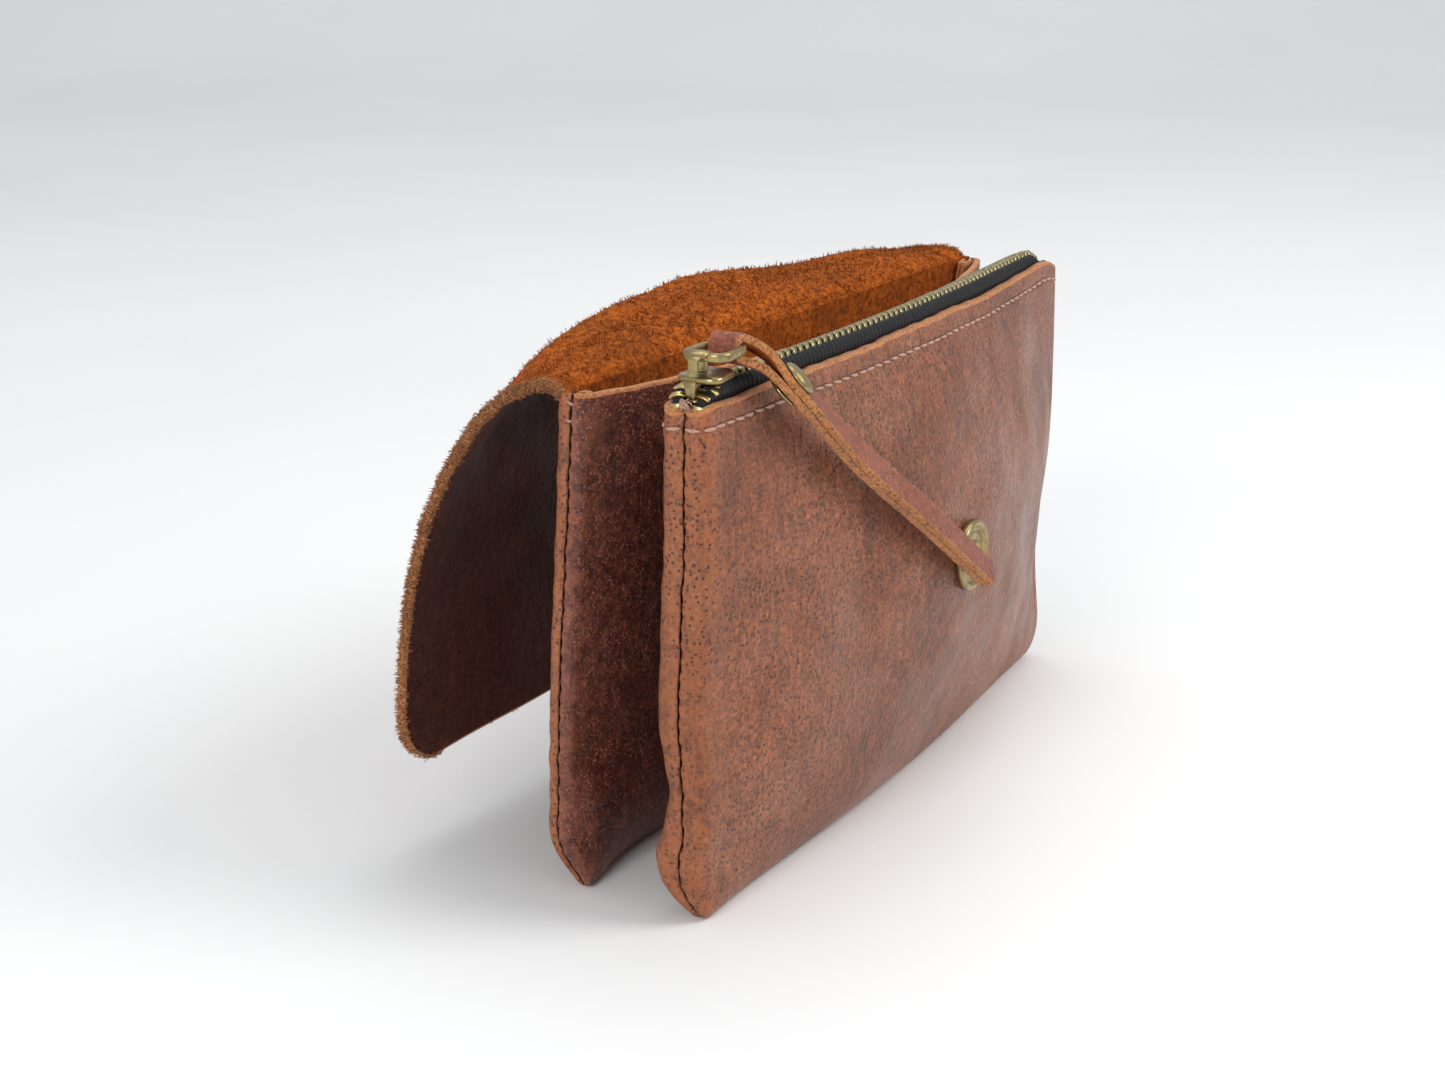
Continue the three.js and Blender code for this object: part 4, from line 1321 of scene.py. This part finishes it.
def strap_bend():
    """The sections where the strap goes round the ring."""
    along, across, out = strap_frame(0)
    rings = []
    for angle in turning(math.pi / 2, -math.pi / 2, 18):
        away = out * math.sin(angle) - along * math.cos(angle)
        rings.append(strap_section(strap_at(0) + away * STRAP_FOLD, across, away)[0])
    return rings


def build_strap():
    """One strip: out along the top, round the ring and back along the underside, its edges left raw."""
    top, kinds = strap_layer(1)
    low = strap_layer(-1)[0]
    rings = np.array(top[::-1] + strap_bend() + low)
    is_edge = np.array(kinds) == 2
    outward = unit_rows(rings - rings.mean(axis=1, keepdims=True))
    coarse, fine = grit(rings, 0.62), grit(rings, 0.25, 40.0)
    amount = np.where(is_edge, 0.24, 0.03) * coarse + np.where(is_edge, 0.10, 0.01) * fine
    rings = rings + outward * amount[..., None]
    column_slots = [2 if 2 in pair else pair[0] for pair in zip(kinds, kinds[1:] + kinds[:1])]
    points, faces = swept(rings)
    slots = column_slots * (len(rings) - 1) + [2, 2]
    return make_object("strap_leather_strip", points, faces, [STRAP_GRAIN, SUEDE, STRAP_EDGE], slots)


def on_strap(points, t=RIVET_AT):
    """Points given along the strap, across it and out of it, in the part's frame."""
    along, across, out = strap_frame(t)
    return strap_at(t) + points[:, :1] * along + points[:, 1:2] * across + points[:, 2:3] * out


def raised(profile, base):
    """A profile of (radius, height) points, lifted by a base height."""
    return [(r, base + h) for r, h in profile]


def build_rivet():
    """The domed cap on the strap's grain side and the flat one behind it."""
    base = 0.15 + STRAP_LAYER
    dome = [(0, 0.05), (3.55, 0.05), (3.8, 0.25), (3.75, 0.55), (3.4, 0.95), (2.7, 1.32), (1.6, 1.58),
            (0.6, 1.66), (0, 1.67)]
    cap = [(0, 0.05), (3.2, 0.05), (3.4, 0.3), (3.1, 0.7), (1.8, 0.95), (0, 1.0)]
    made = []
    for name, profile, side in (("rivet_dome", dome, 1), ("rivet_back", cap, -1)):
        points, faces = revolved(raised(profile, base), 48)
        placed = on_strap(points * np.array([1, side, side]))
        made.append(Build().add(placed, faces).finish(name, BRASS))
    return made


def build_strap_group():
    """The strap and its rivet flatten towards the front panel as the flap folds over them."""
    strap = build_strap()
    front, back = build_rivet()
    for obj, slot, node in (
        (strap, "strap_leather", "puller_strap"), (front, "antique_brass", "rivet_cap"),
        (back, "antique_brass", "rivet_back_cap"),
    ):
        place_piece(obj, "strap", slot, node)
        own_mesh(obj)


# ---------------------------------------------------------------- snaps

def build_front_snap():
    """The magnetic snap half: a raised rim, a ringed well and a hub."""
    depth = float(ZIP_BOW + ZIP_DEPTH + zip_front_extra(np.array(0.0), SNAP_Z)) + 0.3
    profile = [
        (0, -2.6), (1.9, -2.6), (2.0, -2.4), (2.0, -0.05), (7.7, -0.05), (8.0, 0.2), (8.0, 1.25), (7.9, 1.7),
        (7.6, 1.95), (7.2, 2.0), (6.8, 1.9), (6.5, 1.6), (6.3, 1.25), (6.0, 1.12), (5.3, 1.1), (5.1, 1.3),
        (4.8, 1.36), (4.5, 1.3), (4.3, 1.1), (3.6, 1.08), (3.2, 1.3), (3.05, 1.7), (2.8, 1.88), (2.2, 1.9),
        (1.9, 1.75), (1.5, 1.7), (0.5, 1.68), (0, 1.68),
    ]
    points, faces = revolved(profile, 96)
    placed = np.column_stack([points[:, 0], -depth - points[:, 2], SNAP_Z + points[:, 1]])
    snap = Build().add(placed, faces)
    snap.place("front_snap_visual", BRASS, "pouch", "antique_brass", "front_snap")


def flap_frame(index, along):
    """Centre, along, and out of the suede face on a stretch of the flap, in the pocket's frame."""
    y, z = 0.0, FLAP_HINGE
    for length, angle in zip(FLAP_LENGTHS[:index], FLAP_ANGLES[:index]):
        y += length * math.cos(math.radians(angle))
        z += length * math.sin(math.radians(angle))
    a = math.radians(FLAP_ANGLES[index])
    direction = np.array([0, math.cos(a), math.sin(a)])
    out = np.array([0, -math.sin(a), math.cos(a)])
    return np.array([0, y, z]) + direction * along, direction, out


def build_flap_snap():
    """The flap's snap half on the suede face, and its cap on the grain face."""
    centre, along, out = flap_frame(FLAP_LAST, FLAP_SNAP_ALONG)
    centre = centre + np.array([FLAP_SNAP_X, 0, 0])
    across = np.array([1.0, 0, 0])
    stud = [(0, 0), (6.3, 0), (6.5, 0.2), (6.45, 0.8), (6.1, 1.1), (5.2, 1.15), (4.9, 0.95), (3.4, 0.95),
            (3.1, 1.15), (2.2, 1.15), (1.8, 0.9), (0, 0.9)]
    cap = [(0, 0), (5.4, 0), (5.6, 0.2), (5.4, 0.6), (4.4, 1.1), (2.6, 1.4), (1.0, 1.5), (0, 1.5)]
    for name, profile, sign in (("stud", stud, 1), ("cap", cap, -1)):
        points, faces = revolved(raised(profile, FLAP_THICK / 2), FLAP_SNAP_SEGMENTS)
        local = centre + points[:, :1] * across + points[:, 1:2] * along + sign * points[:, 2:3] * out
        half = Build().add(turn_rear(local), faces)
        half.place("flap_%s_visual" % name, BRASS, "flap_snap_stretch", "antique_brass", "flap_snap_" + name)


# ---------------------------------------------------------------- flap

FLAP_SPAN = float(sum(FLAP_LENGTHS)) + 3.7        # with the short rise out of the pocket's rim
FLAP_LAP = 0.85                  # each piece runs this far into the next, so that the leather shades as one
FLAP_LAP_SINK = 0.01             # and lies this much deeper there
FLAP_CUT_SLOT = 3                # the cuts between the pieces, which lie inside the leather
FLAP_TIP = [(0.75, 0.0), (0.5, 0.06), (0.28, 0.2), (0.1, 0.45), (0.0, 0.8)]    # from the tip; drawn in by


def flap_middle_line():
    """(y, z) along the flap at mid width, in the pocket's frame, from just below the rim to the tip."""
    points = [(-0.85, POCKET_TOP - 1.2), (-0.85, POCKET_TOP + 0.4)]
    points.append((0.9, 107.0))
    points += [tuple(flap_frame(i, 0.0)[0][1:]) for i in range(1, len(FLAP_LENGTHS))]
    points.append(tuple(flap_frame(FLAP_LAST, FLAP_LENGTHS[-1])[0][1:]))
    return smoothed(points, 2.2)


def flap_edge_line():
    """The same at the near end, where the leather hangs lower and closer in."""
    points = [(-0.85, POCKET_TOP - 1.2), (-0.7, 105.8), (3.6, 106.6), (12.5, 102.9), (20, 96.4), (28, 84.8),
              (33.4, 74.0), (37.2, 61.0), (40.0, 45.0), (41.2, 30.0), (41.0, 17.5)]
    return smoothed(points, 1.2)


def smoothed(points, width):
    """An evenly spaced line whose turns are rounded over about that width."""
    points = np.asarray(points, float)
    line = spaced(points, LINE_POINTS)
    for _ in range(int((width / (travelled(points)[-1] / LINE_POINTS)) ** 2 * 2)):
        relax(line)
    return spaced(line, LINE_POINTS)


MIDDLE_LINE = flap_middle_line()
EDGE_LINE = flap_edge_line()


def flap_mid_surface(u, x):
    """The flap's middle surface in the pocket's frame, u from 0 at the rim to 1 at the tip, x across."""
    at = np.clip(u, 0, 1) * (len(MIDDLE_LINE) - 1)
    index = np.arange(len(MIDDLE_LINE))
    middle = [np.interp(at, index, MIDDLE_LINE[:, k]) for k in range(2)]
    edge = [np.interp(at, index, EDGE_LINE[:, k]) for k in range(2)]
    near = bell(x, -FLAP_HALF - 1, 22)
    far = 0.45 * bell(x, FLAP_HALF + 2, 16)
    share = np.clip(near + far, 0, 1)
    y = mix(middle[0], edge[0], share)
    z = mix(middle[1], edge[1], share)
    run = u * FLAP_SPAN
    rise = np.sin(math.pi * np.clip(run / 46, 0, 1)) ** 1.3
    crest = (0.2 + 5.4 * bell(x, -14, 40)) * rise * (1 - share)
    dent = -0.7 * bell(x, -24, 7) * rise
    z = z + crest + dent
    y = y + 0.9 * swell(x, 0 * x, 21, 70) * smooth((run - 40) / 60)
    z = z + 0.5 * swell(x, 0 * x, 22, 60) * smooth((run - 100) / 14)
    return np.stack([x, y, z], axis=-1)


def flap_half_at(run):
    """Half the flap's width, with its two lower corners rounded."""
    into = np.clip(run - (FLAP_SPAN - FLAP_CORNER), 0, FLAP_CORNER)
    return FLAP_HALF - FLAP_CORNER + math.sqrt(max(0.0, FLAP_CORNER ** 2 - float(into) ** 2))


def flap_section(half, thick):
    """(x, offset) round the flap's section: over the suede face, round an edge, back over the grain face."""
    inner = half - FLAP_EDGE
    face = np.linspace(-inner, inner, FLAP_COLUMNS)
    right = turning(math.pi / 2, -math.pi / 2, FLAP_EDGE_POINTS)
    left = turning(-math.pi / 2, -3 * math.pi / 2, FLAP_EDGE_POINTS)
    xs = [face, inner + FLAP_EDGE * np.cos(right), face[::-1], -inner + FLAP_EDGE * np.cos(left)]
    flat = np.full(FLAP_COLUMNS, thick)
    offsets = [flat, thick * np.sin(right), -flat, thick * np.sin(left)]
    return np.concatenate(xs), np.concatenate(offsets)


def flap_ring(run, trim=0.0):
    """Both faces of the flap at one place along it: points, normals, and their x and offset."""
    u = run / FLAP_SPAN
    xs, offsets = flap_section(flap_half_at(run), FLAP_THICK / 2 - trim)
    step = 0.004
    here, ahead, behind = (
        flap_mid_surface(np.full_like(xs, at), xs) for at in (u, min(1, u + step), max(0, u - step))
    )
    tangent = here - behind if u + step > 1 else ahead - behind
    level = np.full_like(xs, u)
    slope = flap_mid_surface(level, xs + 0.5) - flap_mid_surface(level, xs - 0.5)
    normal = unit_rows(np.cross(slope, tangent))
    return here + normal * offsets[:, None], normal, xs, offsets


def add_fibres(build, bases, normals, count, slot):
    """Short curved fibres that stand out of a surface, each a thin closed spike with a bend."""
    pick = rng.integers(0, len(bases), count)
    out = normals[pick]
    base = bases[pick] + rng.normal(0, 0.3, (count, 3))
    lay = np.array([0.55, 0.5, -0.2])
    lean = unit_rows(out * rng.uniform(0.5, 1.0, (count, 1)) + rng.normal(0, 0.5, (count, 3)) + 0.3 * lay)
    droop = unit_rows(lean + rng.normal(0, 0.7, (count, 3)) + 0.5 * lay)
    tall = rng.uniform(0.35, 1.0, (count, 1)) * FIBRE_LENGTH
    side = unit_rows(np.cross(lean, rng.normal(0, 1, (count, 3))))
    other = np.cross(lean, side)
    foot, knee = base - out * 0.3, base + lean * tall * 0.5
    rows = []
    for centre, width in ((foot, 0.11), (knee, 0.08)):
        rows += [centre + width * (math.cos(a) * side + math.sin(a) * other) for a in (0, 2.1, 4.2)]
    points = np.stack([*rows, knee + droop * tall * 0.5], axis=1).reshape(-1, 3)
    pattern = np.array([[0, 2, 1], [0, 1, 4], [0, 4, 3], [1, 2, 5], [1, 5, 4], [2, 0, 3], [2, 3, 5],
                        [3, 4, 6], [4, 5, 6], [5, 3, 6]])
    faces = (pattern[None] + 7 * np.arange(count)[:, None, None]).reshape(-1, 3).tolist()
    build.add(points, faces, slot)


def flap_rows(i, low, high):
    """(run, trim) of each ring of a piece: its own rows, a lap at each cut, and the tip drawn in."""
    runs = list(np.arange(low, high, FLAP_ROW_PITCH)) + [high]
    if runs[-1] - runs[-2] < 0.3:
        runs.pop(-2)
    if i == FLAP_LAST:
        rows = [(run, 0.0) for run in runs if run < high - 1.0]
        rows += [(high - back, trim) for back, trim in FLAP_TIP]
    else:
        rows = [(run, 0.0) for run in runs] + [(high + FLAP_LAP, FLAP_LAP_SINK)]
    if i > 0:
        rows.insert(0, (low - FLAP_LAP, FLAP_LAP_SINK))
    return rows


def flap_slots(i, rows, columns):
    """0 suede, 1 grain, 2 cut edge. The last rows of the last piece are cut edge all round."""
    grain_start = FLAP_COLUMNS + FLAP_EDGE_POINTS
    ring = [2] * columns
    ring[:FLAP_COLUMNS - 1] = [0] * (FLAP_COLUMNS - 1)
    ring[grain_start:grain_start + FLAP_COLUMNS - 1] = [1] * (FLAP_COLUMNS - 1)
    tip_rows = len(FLAP_TIP) - 1 if i == FLAP_LAST else 0
    return ring * (rows - tip_rows) + [2] * (columns * tip_rows)


def flap_piece(i, low, high):
    """One piece of the flap with its fibres, in the pocket's frame."""
    rows = flap_rows(i, low, high)
    rings, tops, top_normals, edges, edge_normals = [], [], [], [], []
    for run, trim in rows:
        ring, normal, xs, offsets = flap_ring(run, trim)
        rings.append(ring)
        top = offsets >= FLAP_THICK / 2 - trim - 1e-6
        tops.append(ring[top])
        top_normals.append(normal[top])
        rim = np.abs(np.abs(xs) - flap_half_at(run)) < 0.8
        edges.append(ring[rim])
        outward = np.sign(xs[rim])[:, None] * np.array([1, 0, 0])
        edge_normals.append(unit_rows(outward + 0.5 * normal[rim]))
    rings = np.array(rings)
    suede = rings[:, :FLAP_COLUMNS]
    rough = grit(suede, 1.15) * 0.34 + grit(suede, 0.5, 9.0) * 0.10
    normals = np.array([flap_ring(run)[1][:FLAP_COLUMNS] for run, _ in rows])
    rings[:, :FLAP_COLUMNS] += normals * rough[..., None]
    columns = rings.shape[1]
    faces = ring_faces(len(rows), columns)
    slots = flap_slots(i, len(rows) - 1, columns)
    close_ring_ends(faces, slots, len(rows), columns, 2 * FLAP_COLUMNS + FLAP_EDGE_POINTS - 1)
    build = Build().add(rings, faces, slots)
    add_fibres(build, np.concatenate(tops), np.concatenate(top_normals), FIBRES_ON_FACE, 0)
    add_fibres(build, np.concatenate(edges), np.concatenate(edge_normals), FIBRES_ON_EDGE, 2)
    return build


def build_flap():
    """Five leather pieces that meet in the middle of the CAD stretches, each laid over one hinge in the rest
    shape.
    """
    rise = FLAP_SPAN - sum(FLAP_LENGTHS)
    middles = [rise + sum(FLAP_LENGTHS[:i]) + FLAP_LENGTHS[i] / 2 for i in range(FLAP_LAST)]
    cuts = [0.0, *middles, FLAP_SPAN]
    for i, (low, high) in enumerate(zip(cuts, cuts[1:])):
        build = flap_piece(i, low, high)
        build.points = [turn_rear(np.concatenate(build.points))]
        looks = [SUEDE, SHADED_FLAP_GRAIN, RAW_EDGE, RAW_EDGE]
        obj = build.finish("flap_leather_%d" % (i + 1), *looks, flat_slot=FLAP_CUT_SLOT)
        place_piece(obj, None, "flap_suede", "flap_%d" % (i + 1))
        blend_flap(obj, i)


def close_ring_ends(faces, slots, rows, columns, mirror):
    """Matching faces across both cut ends: point i of a ring lies opposite point mirror - i."""
    first = (mirror + columns) // 2
    for base in (0, (rows - 1) * columns):
        for k in range(columns // 2):
            i, j = (first + k) % columns, (first + k + 1) % columns
            loop = [i, j, (mirror - j) % columns, (mirror - i) % columns]
            faces.append([base + c for c in dict.fromkeys(loop)])
            slots.append(FLAP_CUT_SLOT)


def blend_flap(obj, i):
    """Bakes the piece's placement into its mesh. The points where it would blend from one body to the next
    are worked out but not used.
    """
    margin = 3.0
    if i == 0:
        start = np.array([0, -0.9, POCKET_TOP])
        end = flap_frame(0, FLAP_LENGTHS[0] / 2 - margin)[0]
    else:
        start = flap_frame(i - 1, FLAP_LENGTHS[i - 1] / 2 + margin)[0]
        end = flap_frame(i, min(FLAP_LENGTHS[i] / 2 - margin, 10))[0]
    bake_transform(obj)


# ---------------------------------------------------------------- scene

CAMERA_HEADING = math.radians(27.84)
CAMERA_PITCH = math.radians(16.53)
CAMERA_AT = (-0.4609, -0.19725, 0.2039)
CAMERA_LENS = 57.3
FLOOR_DROP = 0.0003              # the floor lies this far, in metres, below the object's lowest point
FLOOR_REACH = 7.0
SKY_COLOUR = (0.985, 0.995, 1.0, 1)
SKY_STRENGTH = 0.56


def build_camera():
    """The photograph's viewing angle: from the front left, a little above."""
    heading, pitch = CAMERA_HEADING, CAMERA_PITCH
    data = bpy.data.cameras.new("camera")
    data.lens = CAMERA_LENS
    data.sensor_width = 36
    camera = link("camera", data)
    camera.location = CAMERA_AT
    forward = Vector((
        math.cos(heading) * math.cos(pitch), math.sin(heading) * math.cos(pitch), -math.sin(pitch),
    ))
    camera.rotation_mode = "QUATERNION"
    camera.rotation_quaternion = forward.to_track_quat("-Z", "Y")
    bpy.context.scene.camera = camera


def area_light(name, place, target, size, power, colour):
    """A round soft light at a place, turned to its target."""
    data = bpy.data.lights.new(name, "AREA")
    data.shape = "DISK"
    data.size = size
    data.energy = power
    data.color = colour
    light = link(name, data)
    light.location = place
    aim = Vector(target) - Vector(place)
    light.rotation_mode = "QUATERNION"
    light.rotation_quaternion = aim.to_track_quat("-Z", "Y")


def build_floor():
    """A pale floor, square to the camera, that sweeps up into a wall behind the object."""
    ahead = np.array([math.cos(CAMERA_HEADING), math.sin(CAMERA_HEADING)])
    aside = np.array([-ahead[1], ahead[0]])
    radius, start, height = 1.0, 1.5, 5.0
    profile = [(-6.0, 0.0), (start, 0.0)]
    for a in np.linspace(0, math.pi / 2, 25)[1:]:
        profile.append((start + radius * math.sin(a), radius * (1 - math.cos(a))))
    profile.append((start + radius, height))
    points = []
    for run, z in profile:
        for across in (-FLOOR_REACH, FLOOR_REACH):
            x, y = ahead * run + aside * across
            points.append((x, y, z - FLOOR_DROP))
    faces = [(2 * k, 2 * k + 1, 2 * k + 3, 2 * k + 2) for k in range(len(profile) - 1)]
    mesh = bpy.data.meshes.new("floor")
    mesh.from_pydata(points, [], faces)
    mesh.polygons.foreach_set("use_smooth", [True] * len(faces))
    keep_values(mesh, "rest_mm", "FLOAT_VECTOR", np.array(points, np.float32) / MM)
    mesh.materials.append(pale_floor("pale_floor"))
    link("floor", mesh)


def build_lights():
    """A dim even sky and soft lights: from the front, above and the left, and one on the wall behind."""
    world = bpy.data.worlds.new("studio")
    world.use_nodes = True
    background = world.node_tree.nodes["Background"]
    background.inputs["Color"].default_value = SKY_COLOUR
    background.inputs["Strength"].default_value = SKY_STRENGTH
    bpy.context.scene.world = world
    area_light("key", (0.30, -0.80, 0.85), (0, 0, 0.05), 0.6, 6.7, (1, 0.985, 0.955))
    area_light("top", (0.2, 0.2, 1.1), (0, 0.02, 0.05), 0.8, 2.4, (0.97, 0.98, 1))
    area_light("left", (-1.1, -0.05, 0.55), (0, 0, 0.06), 0.6, 5.4, (1, 0.995, 0.985))
    area_light("wall", (0.9, 0.1, 1.9), (2.2, 1.2, 0.6), 1.2, 6.0, (1, 1, 1))
    bpy.context.scene.view_settings.view_transform = "Standard"


def dress_hidden_nodes():
    """CAD nodes that stay: the washer inside the pouch and the rivet's shank."""
    for name in ("front_snap_washer", "rivet_shank"):
        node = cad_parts[name]
        node.data.materials.clear()
        node.data.materials.append(BRASS)


build_camera()
build_floor()
build_lights()
outer_faces = build_pouches()
build_rim_stitches(outer_faces)
build_back_tacks()
build_join()
build_seam_folds()
build_tapes()
build_chain()
build_far_stop()
build_tape_ends()
build_knot()
build_slider()
build_crown()
build_ring()
build_strap_group()
build_front_snap()
build_flap_snap()
build_flap()
dress_hidden_nodes()
